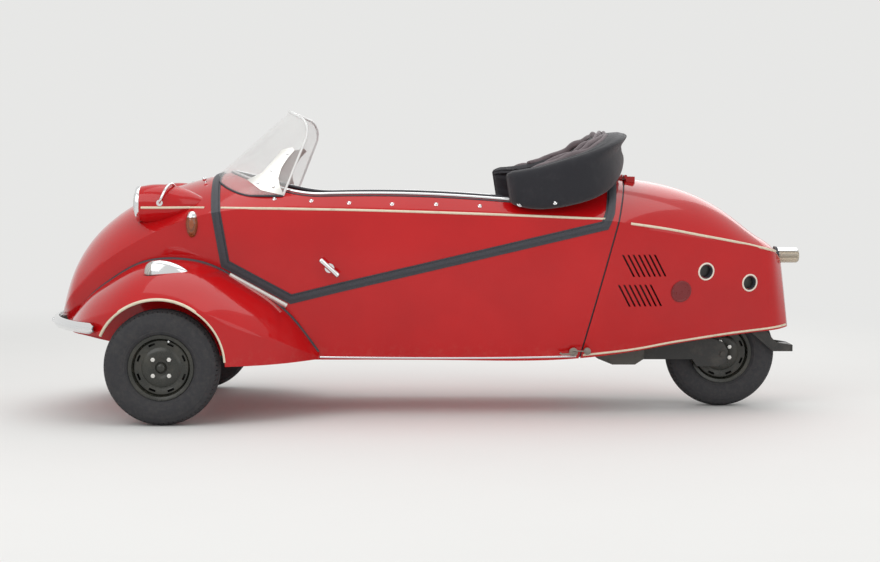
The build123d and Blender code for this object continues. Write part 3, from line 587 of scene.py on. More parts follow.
def openingOutline(grow=0.0, count=48):
    # Half an ellipse ahead, straight sides, and two round corners behind
    half, front = cuts["openingHalf"] + grow, cuts["openingFront"] - grow
    rear, corner = cuts["openingRear"] + grow, cuts["openingCorner"] + grow
    bend = front + cuts["openingHalf"] + 0.03
    turn = np.linspace(-np.pi / 2, np.pi / 2, count)
    nose = np.stack([bend - (bend - front) * np.cos(turn), half * np.sin(turn)], -1)
    quarter = np.linspace(0, np.pi / 2, count // 3)
    one = np.stack([rear - corner + corner * np.sin(quarter), half - corner + corner * np.cos(quarter)], -1)
    return np.vstack([nose, one, one[::-1] * (1, -1)])


def bodyPanels():
    low, high, far, side = cuts["low"], cuts["high"], cuts["far"], cuts["side"]
    t, gap, wall = tailFittings, cuts["gap"], hull["wall"]
    shell = carve(hullPiece("shell", 0.0), hullPiece("core", -wall))
    ahead = [(-far, low), (seamX(low), low), (seamX(high), high), (-far, high)]
    tub = carve(copyPiece(shell, "tubPanels"), prism("ahead", ahead, -side, side), "INTERSECT")
    carve(tub, canopyRegion("canopyGap", gap))
    front, top = cuts["bulkheadX"], cuts["bulkheadTop"]
    bulkhead = prism("bulkhead", box(front, front + wall, low, top), -side, side)
    carve(bulkhead, hullPiece("core", -wall + 0.001), "INTERSECT")
    carve(tub, bulkhead, "UNION")
    finish(tub, "chassis", "red_paint", node="tub")
    canopy = carve(copyPiece(shell, "canopyPanels"), canopyRegion("canopyCut", 0.0), "INTERSECT")
    carve(canopy, prism("hole", openingOutline(), low, high, "z"))
    finish(canopy, "canopy", "red_paint", node="canopy_frame")
    behind = [(seamX(low) + gap, low), (far, low), (far, high), (seamX(high) + gap, high)]
    tail = carve(shell, prism("behind", behind, -side, side), "INTERSECT")
    tail.name = "tailPanels"
    carve(tail, prism("belly", bellyOutline(), low, t["bellyTop"], "z"))
    for outline in louvreOutlines():
        carve(tail, prism("slot", outline, -side, side))
    bore = [(-side, t["portRadius"]), (side, t["portRadius"])]
    for x, z in t["ports"]:
        carve(tail, turned("port", bore, (x, 0, z), (0, 1, 0), 40))
    finish(tail, "tail", "red_paint", node="tail_cover")


def bellyOutline():
    # The tail cover's open underside, a little inside its floor line
    rows = hull["sections"][(hull["sections"][:, 0] > 0.73) & (hull["sections"][:, 0] < 1.3)]
    half = np.vstack([[seamX(cuts["low"]) - 0.05, 0.28], np.stack([rows[:, 0], rows[:, 1] - 0.02], -1),
                      [1.318, 0.066]])
    return np.vstack([half, half[::-1] * (1, -1)])


tailFittings = {
    "louvreStarts": [(0.694, 0.587), (0.681, 0.478)], "louvreCount": 7, "louvrePitch": 0.0195,
    "louvreWidth": 0.007, "louvreRun": (0.043, -0.080), "bellyTop": 0.33,
    "ports": [(1.012, 0.522), (1.184, 0.476)], "portRadius": 0.023, "disc": (0.918, 0.450),
    # lathed forms, as (out of the skin, radius): name, form, points round it, paint and CAD node
    "portParts": [
        ("portRing", [(-0.006, 0.0275), (-0.001, 0.0330), (0.0020, 0.0328), (0.0036, 0.0305),
                      (0.0030, 0.0275), (-0.001, 0.0262)], 64, "port_trim", "port_rings"),
        ("portSleeve", [(-0.014, 0.0232), (-0.004, 0.0270), (0.0012, 0.0272), (0.0012, 0.0240),
                        (-0.014, 0.0215)], 64, "black_rubber", None),
        # the dark back: a black disc inside each port, painted shade
        ("portShadeBack", [(-0.022, 0.0001), (-0.022, 0.024), (-0.018, 0.024), (-0.018, 0.0001)], 32,
         "dark_metal", None)],
    "marker": [(-0.006, 0.0001), (-0.006, 0.040), (0.0020, 0.0400), (0.0035, 0.0380), (0.0035, 0.0330),
               (0.0020, 0.0310), (0.0030, 0.0180), (0.0036, 0.0001)],
}


def louvreOutlines():
    t = tailFittings
    for startX, startZ in t["louvreStarts"]:
        for index in range(t["louvreCount"]):
            x, runX, runZ = startX + index * t["louvrePitch"], *t["louvreRun"]
            yield [(x, startZ), (x + t["louvreWidth"], startZ),
                   (x + runX + t["louvreWidth"], startZ + runZ), (x + runX, startZ + runZ)]


bodyPanels()
print("hull panels made")


# Rubber seal, beads and bright trim, all laid on the hull's surface
lamps = {
    "pod": (-1.052, -0.262, 0.769),
    "side": (-0.850, 0.648), "sideStand": 0.004,
    "fender": (-1.004, -0.466, 0.524),
}


def podSkin():
    # The lamp pod's outer line, as (behind its front, radius)
    line = np.array([[0.008, 0.0640], [0.082, 0.0715], [0.232, 0.0220]])
    return arcThrough(*line[:, None], np.linspace(0, 1, 40))[0]


def podSide(x, z):
    # How far out the pod reaches at a length and height: its middle plus sqrt(radius^2 - rise^2)
    podX, podY, podZ = lamps["pod"]
    radius = np.interp(x - podX, *podSkin().T)
    return abs(podY) + np.sqrt(np.clip(radius ** 2 - (z - podZ) ** 2, 0, None))


sealing = {
    "flange": (0.0055, -0.028, 0.0022),   # from and to across the canopy's edge, and how far it stands out
    "rib": (-0.007, -0.021, 0.0070),
    "inner": -0.010,
}


def sealBand(name, start, end, stand):
    # A band of the hull's skin between two lines grown from the canopy's edge, clear of the opening
    band = canopyRegion(name + "Band", start)
    carve(band, canopyRegion("within", end))
    carve(band, prism("hole", openingOutline(), cuts["low"], cuts["high"], "z"))
    piece = carve(hullPiece(name, stand), hullPiece("core", sealing["inner"]))
    return finish(carve(piece, band, "INTERSECT"), "canopy", "black_rubber")


def canopySeal():
    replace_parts(sealBand("sealFlange", *sealing["flange"]), "canopy_seal")
    sealBand("sealRib", *sealing["rib"])


def alongSurface(points, stand, count, side=-1):
    # Spreads (x, z) points into an even path on the flank, stand outside it
    points = np.asarray(points, float)
    step = runAlong(points)
    at = np.linspace(0, step[-1], count)
    if len(points) > 2:
        x, z = spline(step, points, at).T
    else:
        x, z = (np.interp(at, step, column) for column in points.T)
    return np.stack([x, side * (flank(x, z) + stand), z], -1)


def onFlank(x, z, side):
    # A place on the hull's flank and the way out of it
    spot = np.array([[x, side * float(flank(x, z)[0]), z]])
    return spot[0], surfaceNormals(spot)[0]


def surfaceNormals(path):
    # Outward normal of the hull at a path of points, from the slope of the flank each way
    step = 0.002
    x, z, side = path[:, 0], path[:, 2], np.sign(path[:, 1])
    along = (flank(x + step, z) - flank(x - step, z)) / (2 * step)
    rise = (flank(x, z + step) - flank(x, z - step)) / (2 * step)
    normal = np.stack([-along, side, -rise], -1)
    return normal / np.linalg.norm(normal, axis=1, keepdims=True)


def strip(name, points, width, height, body, slot, count=90, on=sides, stand=0.0, over=None):
    # A half round bead along the flank on both sides of the car, or over what stands further out
    turn = np.linspace(0, np.pi, 9)
    dome = np.stack([width / 2 * np.cos(turn), height * np.sin(turn)], -1)
    profile = np.vstack([dome, [(-width / 2, -0.004), (width / 2, -0.004)]])
    for side, word in on:
        path = alongSurface(points, stand, count, side)
        normals = surfaceNormals(path)
        if over:
            further = over(path[:, 0], path[:, 2])
            normals[further > np.abs(path[:, 1])] = (0, side, 0)
            path[:, 1] = side * np.maximum(np.abs(path[:, 1]), further)
        shellPiece(name + word, sweep(path, profile, normals), body, slot)


trims = {
    "nose": [(-1.036, 0.757), (-0.808, 0.757)],
    "canopy": [(-0.746, 0.757), (-0.500, 0.754), (-0.246, 0.749), (0.200, 0.735), (0.636, 0.717)],
    "tail": [(0.725, 0.700), (0.860, 0.680), (0.980, 0.657), (1.100, 0.634), (1.200, 0.613), (1.290, 0.590)],
    "sill": [(-0.396, 0.214), (0.000, 0.211), (0.300, 0.212), (0.534, 0.216)],
    "tailFoot": [(0.560, 0.220), (0.660, 0.229), (0.760, 0.240), (0.873, 0.258), (0.980, 0.272),
                 (1.120, 0.289), (1.240, 0.300), (1.338, 0.312)],
    "protector": [(-0.717, 0.515), (-0.513, 0.403)],
    "bead": (0.009, 0.0035), "thin": (0.008, 0.004), "flat": (0.021, 0.006),    # width and height
    # round the cockpit's rim: how far outside it, above the skin, radius and paint
    "rim": [("rimBead", -0.001, 0.0010, 0.0052, "chrome_trim"),
            ("rimEdging", -0.004, -0.0050, 0.0070, "black_rubber"),
            ("rimWelt", 0.0065, 0.0000, 0.0030, "black_rubber")],
    # snap studs: their places, and their form as (out, radius)
    "studs": [(-0.555, 0.788), (-0.422, 0.781), (-0.286, 0.774), (-0.132, 0.770), (0.026, 0.769),
              (0.183, 0.763)],
    "stud": [(-0.002, 0.0001), (-0.002, 0.0075), (0.0015, 0.0075), (0.003, 0.005), (0.0055, 0.0045),
             (0.007, 0.003), (0.0075, 0.0001)],
}


def beads():
    t = trims
    strip("noseBead", t["nose"], *t["bead"], "chassis", "cream_bead", 60, over=podSide)
    strip("canopyBead", t["canopy"], *t["bead"], "canopy", "cream_bead", 110)
    strip("tailBead", t["tail"], *t["bead"], "tail", "cream_bead", 70)
    strip("sillBead", t["sill"], *t["thin"], "chassis", "chrome_trim", 90)
    strip("tailFootBead", t["tailFoot"], *t["thin"], "tail", "cream_bead", 90)
    strip("protectorStrip", t["protector"], *t["flat"], "chassis", "pale_metal", 30, sides[:1], 0.001)


def rimBead():
    # Round the cockpit's rim: a bright bead on top, black edging inside it and a black welt below it
    for name, out, stand, radius, slot in trims["rim"]:
        outline = openingOutline(out, 96)
        closed = np.vstack([outline, outline[:1]])
        step = runAlong(closed)
        at = np.linspace(0, step[-1], 361)[:-1]
        x, y = (np.interp(at, step, column) for column in closed.T)
        path = np.stack([x, y, crownAt(x, np.abs(y)) + stand], -1)
        wrapped = np.vstack([path[-1:], path, path[:1]])
        shellPiece(name, sweep(wrapped, ring(radius, 12))[1:-1], "canopy", slot, closeRows=True)


def studs():
    # Snap studs below the rim, that hold the soft top when it is up
    for side, word in sides:
        for index, spot in enumerate(trims["studs"]):
            turned(f"stud{word}{index + 1}", trims["stud"], *onFlank(*spot, side), 20, "canopy",
                   "chrome_trim")


handle = {
    "middle": (-0.355, -0.398, 0.544), "along": (0.064, 0, -0.0575),
    "half": 0.046, "radius": 0.0092, "swell": 0.0022,
}


def handleGrip():
    # Rounded chrome grip over the handle's slanted bar, thicker towards its ends
    h = handle
    reach = np.linspace(-1, 1, 41)
    radius = (h["radius"] + h["swell"] * np.abs(reach) ** 2) * (1 - np.abs(reach) ** 12) ** 0.5 + 0.0001
    form = np.stack([reach * h["half"], radius], -1)
    turned("handleGrip", form, h["middle"], h["along"], 32, "canopy", "chrome_trim")


canopySeal()
handleGrip()
beads()
rimBead()
studs()
print("seal and trims made")


# Front fenders. Columns: X, outer half width, ridge Z at the body, shoulder Z, foot half width
fender = {
    "sections": np.array([
        (-1296, 330, 352, 330, 300), (-1250, 430, 402, 350, 408), (-1160, 540, 468, 380, 528),
        (-1040, 598, 532, 408, 592), (-920, 614, 548, 414, 608), (-780, 606, 524, 396, 600),
        (-640, 566, 450, 336, 560), (-500, 462, 356, 274, 456), (-398, 322, 236, 218, 318)]) / 1000,
    "inner": 0.200, "foot": 0.205, "wall": 0.008, "frontFoot": 0.314,
    "archRadius": 0.232, "archCentre": (-0.940, 0.212), "rows": 130, "arcPoints": 50,
}


def fenderProfile(x, shrink=0.0):
    # Each section runs up inside the hull, over an arc to the shoulder, down the outer side, and back
    f = fender
    half, ridge, shoulder, foot = spline(f["sections"][:, 0], f["sections"][:, 1:], x).T
    half, ridge, foot = half - shrink, ridge - shrink, foot - shrink
    inner = -f["inner"] + 0 * x
    middle = np.stack([-(f["inner"] + (half - f["inner"]) * 0.78), shoulder + (ridge - shoulder) * 0.72], -1)
    top, edge = np.stack([inner, ridge], -1), np.stack([-half, shoulder], -1)
    over = arcThrough(top, middle, edge, np.linspace(0, 1, f["arcPoints"]))
    down = np.linspace(0, 1, 12)[None, 1:, None]
    side = over[:, -1:] * (1 - down) + np.stack([-foot, f["foot"] + 0 * x], -1)[:, None] * down
    loop = np.concatenate([over, side, np.stack([inner, f["foot"] + 0 * x], -1)[:, None]], 1)
    return np.concatenate([np.broadcast_to(x[:, None, None], (*loop.shape[:2], 1)), loop], -1)


def fenderGrid(shrink=0.0):
    front, rear = fender["sections"][[0, -1], 0]
    return fenderProfile(np.linspace(front + shrink, rear - shrink, fender["rows"]), shrink)


def fenderPiece():
    f, far, low = fender, cuts["far"], cuts["low"]
    (x, z), radius = f["archCentre"], f["archRadius"]
    piece = shellPiece("fenderLeftPanel", fenderGrid())
    carve(piece, shellPiece("fenderCore", fenderGrid(f["wall"])))
    carve(piece, hullPiece("hullSeat", 0.0002))
    carve(piece, turned("arch", [(-1, radius), (0, radius)], (x, 0, z), (0, 1, 0), 128))
    # below the arch, below the apron ahead of it, and below the whole
    for x0, x1, top in ((x - radius, x + radius, z), (-far, x, f["frontFoot"]),
                        (-far, far, f["foot"] + 0.004)):
        carve(piece, prism("below", box(x0, x1, low, top), -1, 0))
    finish(piece, "chassis", "red_paint", node="fender_left")
    right = copyPiece(piece, "fenderRightPanel")
    placed(right, (0, 0, 0), 1)
    finish(right, "chassis", "red_paint", node="fender_right")


def fenderSkin(x, z):
    # How far out the fender's outer skin lies at a length and height, along the shoulder and the side
    grid = fenderProfile(x)[:, :-1]
    return np.array([np.interp(h, row[::-1, 2], -row[::-1, 1]) for row, h in zip(grid, z)])


def archBead():
    # Cream bead round the wheel arch, on the fender's outer skin
    (x, z), radius = fender["archCentre"], fender["archRadius"]
    turn = np.radians(np.linspace(154, 3, 120))
    x, z = x + radius * np.cos(turn), z + radius * np.sin(turn)
    for side, word in sides:
        path = np.stack([x, side * (fenderSkin(x, z) - 0.0052), z], -1)
        shellPiece("archBead" + word, sweep(path, ring(0.0055, 10), (0, side, 0)), "chassis", "cream_bead")


def fenderPiping():
    # Black welt where the fender meets the hull, found where both skins are equally far out
    path = []
    for row in fenderProfile(np.linspace(-1.255, -0.402, 140)):
        row = row[:fender["arcPoints"]]
        gap = -row[:, 1] - flank(row[:, 0], row[:, 2])
        crossing = np.argmax(gap > 0)
        share = gap[crossing] / (gap[crossing] - gap[crossing - 1])
        path.append(row[crossing] * (1 - share) + row[crossing - 1] * share)
    for side, word in ((1, "Left"), (-1, "Right")):
        shellPiece("fenderWelt" + word, sweep(np.array(path) * (1, side, 1), ring(0.006, 10)),
                   "chassis", "black_rubber")


fenderPiece()
archBead()
fenderPiping()
print("fenders made")


# Wheels: each is drawn once about the Y axis with its outer face towards -Y, then placed
wheel = {
    "places": [("front_left", (-0.932, -0.540, 0.205), -1), ("front_right", (-0.932, 0.540, 0.205), 1),
               ("rear", (1.098, 0.0, 0.205), -1)],
    "tyreHalf": 0.052, "radius": 0.205, "rim": 0.114, "rimHalf": 0.038, "nutCircle": 0.040,
    "treadPitch": 72, "treadDepth": 0.0042, "grooves": (-0.024, -0.008, 0.008, 0.024),
    # rings on the sidewall: radius, width and height
    "rings": ((0.134, 0.0016, 0.0012), (0.176, 0.002, 0.0012), (0.126, 0.003, 0.0018)),
    "slots": 8, "slotHalfAngle": 8, "slotRadii": (0.0890, 0.0815),
    # lathed forms, as (y, radius): y grows towards the car
    "barrel": [(-0.043, 0.114), (-0.0405, 0.1155), (-0.038, 0.114), (-0.038, 0.105), (0.038, 0.105),
               (0.038, 0.114), (0.0405, 0.1155), (0.043, 0.114), (0.043, 0.1095), (0.040, 0.1005),
               (0.010, 0.0985), (-0.012, 0.0985), (-0.034, 0.1005), (-0.040, 0.1025), (-0.0425, 0.1095)],
    "disc": [(-0.020, 0.1000), (-0.026, 0.094), (-0.0265, 0.086), (-0.0235, 0.078), (-0.0225, 0.070),
             (-0.0260, 0.064), (-0.0285, 0.056), (-0.0285, 0.034), (-0.0260, 0.030), (-0.0260, 0.0215),
             (-0.0230, 0.0215), (-0.0230, 0.034), (-0.0250, 0.056), (-0.0225, 0.063), (-0.0190, 0.070),
             (-0.0200, 0.079), (-0.0230, 0.086), (-0.0225, 0.093), (-0.0165, 0.0992)],
    "drum": [(-0.0215, 0.0001), (-0.0215, 0.030), (-0.0185, 0.040), (-0.012, 0.060), (-0.004, 0.070),
             (0.009, 0.0715), (0.011, 0.0965), (0.0135, 0.0965), (0.015, 0.072), (0.018, 0.072),
             (0.0195, 0.068), (0.0195, 0.0001)],
    "cap": [(-0.046, 0.0001), (-0.0455, 0.008), (-0.043, 0.0135), (-0.038, 0.0165), (-0.028, 0.0180),
            (-0.022, 0.0180), (-0.022, 0.0001)],
    "nut": [(-0.0375, 0.0001), (-0.0375, 0.0035), (-0.0365, 0.0038), (-0.0360, 0.0078), (-0.0285, 0.0082),
            (-0.0285, 0.0001)],
    "valve": [(-0.052, 0.0001), (-0.052, 0.0035), (-0.046, 0.0040), (-0.044, 0.0030), (-0.020, 0.0030),
              (-0.020, 0.0001)],
    "valveAt": (0.030, 0, 0.093),
}


def tyreGrid():
    # Sidewall arcs with raised rings, then a tread of five ribs cut by zigzag grooves:
    # the radius drops by treadDepth where |y - path of a groove| is less than half its width
    w = wheel
    half, flange, inside = w["tyreHalf"], w["rim"] + 0.001, -w["rimHalf"] - 0.0005
    bead, low, bulge, shoulder, crown = np.array([
        (inside, flange - 0.010), (inside, flange), (-half, 0.154), (-half + 0.012, 0.192),
        (0.0, w["radius"])])[:, None]
    left = arcThrough(low, bulge, shoulder, np.linspace(0, 1, 34))[0]
    for radius, wide, high in w["rings"]:
        left[:, 0] -= high * np.exp(-((left[:, 1] - radius) / wide) ** 2)
    tread = arcThrough(shoulder, crown, shoulder * (-1, 1), np.linspace(0, 1, 58))[0][1:-1]
    y, r = np.vstack([bead, left, tread, left[::-1] * (-1, 1), bead * (-1, 1)]).T
    turn = np.linspace(0, 2 * np.pi, w["treadPitch"] * 6, endpoint=False)[:, None]
    phase = turn * w["treadPitch"] / (2 * np.pi) % 1 - 0.5
    zigzag = np.abs(phase) * 2
    edge = np.clip((np.abs(y[None]) - 0.028) / 0.001, 0, 1) * np.clip(1.5 - np.abs(phase) / 0.10, 0, 1)
    for centre in w["grooves"]:
        away = np.abs(y[None] - centre - 0.0035 * (zigzag - 0.5))
        edge = np.maximum(edge, np.clip(1.6 - away / 0.0013, 0, 1))
    start = 1 + len(left)
    edge[:, :start] = edge[:, start + len(tread):] = 0
    radius = r[None] - w["treadDepth"] * edge
    return np.stack([radius * np.cos(turn), np.broadcast_to(y, radius.shape), radius * np.sin(turn)], -1)


def slottedDisc():
    w = wheel
    disc = turned("wheelDisc", w["disc"], (0, 0, 0), (0, 1, 0), 128, closeRows=True)
    spread = np.radians(np.linspace(-w["slotHalfAngle"], w["slotHalfAngle"], 12))
    for index in range(w["slots"]):
        turn = (index + 0.5) * 2 * np.pi / w["slots"] + spread
        outline = [np.stack([radius * np.cos(turn), radius * np.sin(turn)], -1) for radius in w["slotRadii"]]
        carve(disc, prism("slot", np.vstack([outline[0], outline[1][::-1]]), -0.06, 0.02))
    return disc


def wheels():
    w, centre, axle = wheel, (0, 0, 0), (0, 1, 0)
    parts = {"Tyre": (shellPiece("tyre", tyreGrid(), closeRows=True, angle=50), "tyre_rubber"),
             "Rim": (turned("rimBarrel", w["barrel"], centre, axle, 128, closeRows=True), "wheel_paint"),
             "Disc": (slottedDisc(), "wheel_paint"),
             "Drum": (turned("hubDrum", w["drum"], centre, axle, 96), "dark_metal"),
             "HubCap": (turned("hubCap", w["cap"], centre, axle, 48), "wheel_paint")}
    for name, place, side in w["places"]:
        taken = {"Tyre": name + "_tyre", "Rim": name + "_wheel"}
        for part, (source, slot) in parts.items():
            piece = copyPiece(source, name.replace("_", "") + part)
            placed(piece, place, side)
            finish(piece, name, slot, angle=50 if part == "Tyre" else 35, node=taken.get(part))
        count, first = (6, 30) if name == "rear" else (4, 45)
        for index in range(count):
            turn = np.radians(first + 360 / count * index)
            spot = (w["nutCircle"] * np.cos(turn), 0, w["nutCircle"] * np.sin(turn))
            nut = turned(f"{name}Nut{index + 1}", w["nut"], spot, axle, 6)
            placed(nut, place, side)
            finish(nut, name, "pale_metal", angle=30)
        valve = turned(f"{name}Valve", w["valve"], w["valveAt"], axle, 14)
        placed(valve, place, side)
        finish(valve, name, "chrome_trim")
    for source, _ in parts.values():
        bpy.data.objects.remove(source)


wheels()
print("wheels made")


# Lamps on the nose, the flanks and the fenders, and the bumper
def headlamps():
    x, y, z = lamps["pod"]
    case = np.vstack([[(0.012, 0.0001), (0.012, 0.056), (0.003, 0.0575), (0.001, 0.0600), (0.004, 0.0630)],
                      podSkin(), [(0.232, 0.0001)]])
    bezel = [(0.0040, 0.0560), (-0.0040, 0.0555), (-0.0085, 0.0575), (-0.0090, 0.0605), (-0.0060, 0.0640),
             (0.0000, 0.0655), (0.0060, 0.0650), (0.0075, 0.0635), (0.0040, 0.0625)]
    r = np.linspace(0.0568, 0.0001, 24)
    glass = np.vstack([[(0.004, 0.0568)], np.stack([-0.004 - 0.016 * np.sqrt(1 - (r / 0.0575) ** 2), r], -1)])
    parts = (("Pod", case, "red_paint", "headlamp_pods"), ("Ring", bezel, "chrome_trim", None),
             ("Glass", glass, "lamp_glass", "headlamp_lenses"))
    for side, word in ((1, "Left"), (-1, "Right")):
        for part, form, slot, node in parts:
            piece = turned("headlamp" + part + word, form, (x, y * side, z), (1, 0, 0), 96,
                           closeRows=part == "Ring")
            if part == "Pod":
                carve(piece, hullPiece("hullSeat", -0.004))
            finish(piece, "chassis", slot, node=node)


def sideLamps():
    # Amber glass egg with a chrome crown: its radius is a sine of the height, drawn up a little and rounded
    x, z = lamps["side"]
    rise = np.linspace(0, 1, 48)
    radius = 0.0218 * np.sin(np.pi * rise ** 1.08).clip(0, 1) ** 0.42 + 0.0003
    egg = np.stack([rise * 0.094, radius], -1)
    crown = egg[36:] * (1, 1.03) + (0.0012, 0.0004)
    crown = np.vstack([[(crown[0, 0], 0.0001)], crown])
    plate = [(-0.004, 0.0001), (-0.004, 0.0190), (0.0015, 0.0185), (0.0020, 0.0001)]
    for side, word in sides:
        y = side * (float(flank(x, z + 0.05)[0]) + lamps["sideStand"] - 0.008)
        place, up = (x, y, z + 0.002), (0, 0, 1)
        turned("sideLens" + word, egg, place, up, 48, "chassis", "amber_lens", node="side_lamps")
        turned("sideLampCrown" + word, crown, place, up, 48, "chassis", "chrome_trim")
        turned("sideLampBase" + word, plate, (x, y - side * 0.010, z + 0.048), (0, side, 0), 40,
               "chassis", "black_rubber")


def fenderLamps():
    # Chrome half teardrop on each fender's crown, glass in its nose, on a thin plate
    x, y, z = lamps["fender"]
    length, half, height = 0.160, 0.030, 0.052
    s = np.linspace(0, 1, 60)
    girth = np.sin(np.pi * s ** 0.62).clip(0, 1) ** 0.55
    girth[-1] = 0.02
    turn, wide = np.linspace(0, np.pi, 25), girth[:, None]
    drop = np.stack([(x + s * length)[:, None] + 0 * turn, y + wide * half * np.cos(turn),
                     z + wide * height * np.sin(turn)], -1)
    plate = np.stack([x - 0.006 + s * (length + 0.012), girth * (half + 0.006)], -1)
    outline = np.vstack([plate, plate[::-1] * (1, -1)]) + (0, y)
    for side, word in ((1, "Left"), (-1, "Right")):
        here = drop * (1, side, 1)
        shellPiece("fenderLamp" + word, here[10:], "chassis", "chrome_trim", node="fender_lamps")
        shellPiece("fenderGlass" + word, here[:12], "chassis", "lamp_glass")
        base = prism("fenderLampPlate" + word, outline * (1, side), z - 0.010, z + 0.001, "z")
        finish(base, "chassis", "dark_metal")


blade = {
    # bowed in plan round a centre at X; the height of its middle; its bolts' Y and turn
    "centre": -0.600, "radius": 0.800, "half": 0.560, "middle": 0.339, "boltY": 0.150, "boltTurn": 0.19,
    # section as (out, up), with a rounded face and a raised middle rib, moved and scaled
    "section": [(-0.006, -0.024), (0.000, -0.026), (0.007, -0.022), (0.011, -0.013), (0.012, -0.006),
                (0.0155, -0.004), (0.0165, 0.0), (0.0155, 0.004), (0.012, 0.006), (0.011, 0.013),
                (0.007, 0.022), (0.000, 0.026), (-0.006, 0.024), (0.002, 0.016), (0.005, 0.0),
                (0.002, -0.016)],
    "move": (0.007, 0), "scale": (-1, 0.76),
    "bolt": [(-0.0125, 0.0001), (-0.0120, 0.005), (-0.009, 0.0085), (-0.003, 0.0095), (-0.003, 0.0001)],
}


def bumper():
    # The blade with its ends pulled in, and a bolt and a stay on each side
    b = blade
    centre, radius, middle = b["centre"], b["radius"], b["middle"]
    reach = math.asin(b["half"] / radius)
    turn = np.linspace(-reach, reach, 121)
    path = np.stack([centre - radius * np.cos(turn), radius * np.sin(turn), middle + 0 * turn], -1)
    grid = sweep(path, (np.array(b["section"]) - b["move"]) * b["scale"])
    taper = np.clip((reach - np.abs(turn)) / 0.035, 0.30, 1) ** 0.5
    shellPiece("bumperBlade", tapered(path, grid, taper), "chassis", "chrome_trim", node="front_bumper")
    for side, word in sides:
        y = side * b["boltY"]
        x = centre - math.sqrt(radius ** 2 - y ** 2)
        stay = [(x + 0.004, y, middle), (x + 0.030, y * 0.95, middle), (x + 0.075, y * 0.80, middle + 0.004)]
        shellPiece("bumperStay" + word, sweep(stay, ring(0.010, 12, 1.4)), "chassis", "dark_metal")
        facing = (math.cos(b["boltTurn"]), -side * math.sin(b["boltTurn"]), 0)
        turned("bumperBolt" + word, b["bolt"], (x, y, middle), facing, 24, "chassis", "chrome_trim")


def tapered(path, grid, taper):
    # Draws each ring of a swept grid in towards its path
    return path[:, None] + (grid - path[:, None]) * taper[:, None, None]


cowl = {
    # catch over the pod: X, how far it stands off the pod, and the angle round the pod's middle
    "catch": [(-0.968, 0.000, 0.07), (-0.960, 0.014, 0.28), (-0.944, 0.018, 0.73), (-0.930, 0.013, 1.15),
              (-0.922, -0.002, 1.43)],
    "wire": 0.0050,
    "foot": [(-0.004, 0.0001), (-0.004, 0.012), (0.002, 0.0115), (0.003, 0.0001)],
    "knobAt": (-0.828, 0.846),
    "knob": [(-0.003, 0.0001), (-0.003, 0.0060), (0.006, 0.0045), (0.010, 0.0080), (0.016, 0.0085),
             (0.020, 0.0060), (0.021, 0.0001)],
}


def cowlFittings():
    # Small chrome catch curled over each pod and knob beside the seal
    podX, podY, podZ = lamps["pod"]
    along, lift, turn = np.array(cowl["catch"]).T
    reach = np.interp(along - podX, *podSkin().T) + lift
    for side, word in sides:
        arch = np.stack([along, side * (abs(podY) + reach * np.cos(turn)), podZ + reach * np.sin(turn)], -1)
        bent = spline(np.arange(5.0), arch, np.linspace(0, 4, 17))
        shellPiece("podCatch" + word, sweep(bent, ring(cowl["wire"], 12)), "chassis", "chrome_trim")
        turned("podCatchFoot" + word, cowl["foot"], arch[0], (0, side, 0), 24, "chassis", "chrome_trim")
        turned("cowlKnob" + word, cowl["knob"], *onFlank(*cowl["knobAt"], side), 28, "chassis", "chrome_trim")


headlamps()
cowlFittings()
sideLamps()
fenderLamps()
bumper()
print("lamps and bumper made")


# Windscreen: one bent clear sheet with rounded top corners, from the cowl up
screen = {
    "foot": (0.325, -0.525, -0.879, 0.800), "head": (0.285, -0.395, -0.505, 1.130),
    "topAt": (-0.524, 1.109), "topFall": 0.48, "thickness": 0.004,
    "cornerAt": 0.80, "corner": 0.16, "edge": 0.0045,
}


def screenPoint(t, s):
    # t runs across from -1 to 1 along an arc in plan, s runs up from the foot to the head
    half, sideX, frontX, z = (np.array(screen["foot"])[:, None] * (1 - s.ravel())
                              + np.array(screen["head"])[:, None] * s.ravel())
    sag = sideX - frontX
    radius = (half ** 2 + sag ** 2) / (2 * sag)
    reach = np.arcsin(np.clip(half / radius, -1, 1))
    angle = t.ravel() * np.where(sag > half, np.pi - reach, reach)
    x = frontX + radius - radius * np.cos(angle)
    return np.stack([x, radius * np.sin(angle), z], -1).reshape(*t.shape, 3)


def screenLimits(t):
    # Where the sheet leaves the body, and where its top edge cuts it, for each t
    s = np.linspace(0, 1, 260)
    foot, head = [], []
    for value in t:
        line = screenPoint(np.full(len(s), value), s)
        above = line[:, 2] - crownAt(line[:, 0], np.abs(line[:, 1]))
        start = np.argmax(above > 0.001)
        drop = screen["topAt"][1] - (line[:, 0] - screen["topAt"][0]) * screen["topFall"]
        stop = np.argmax(line[:, 2] > drop) or len(s) - 1
        foot.append(s[start])
        head.append(s[stop])
    return np.array(foot), np.array(head)


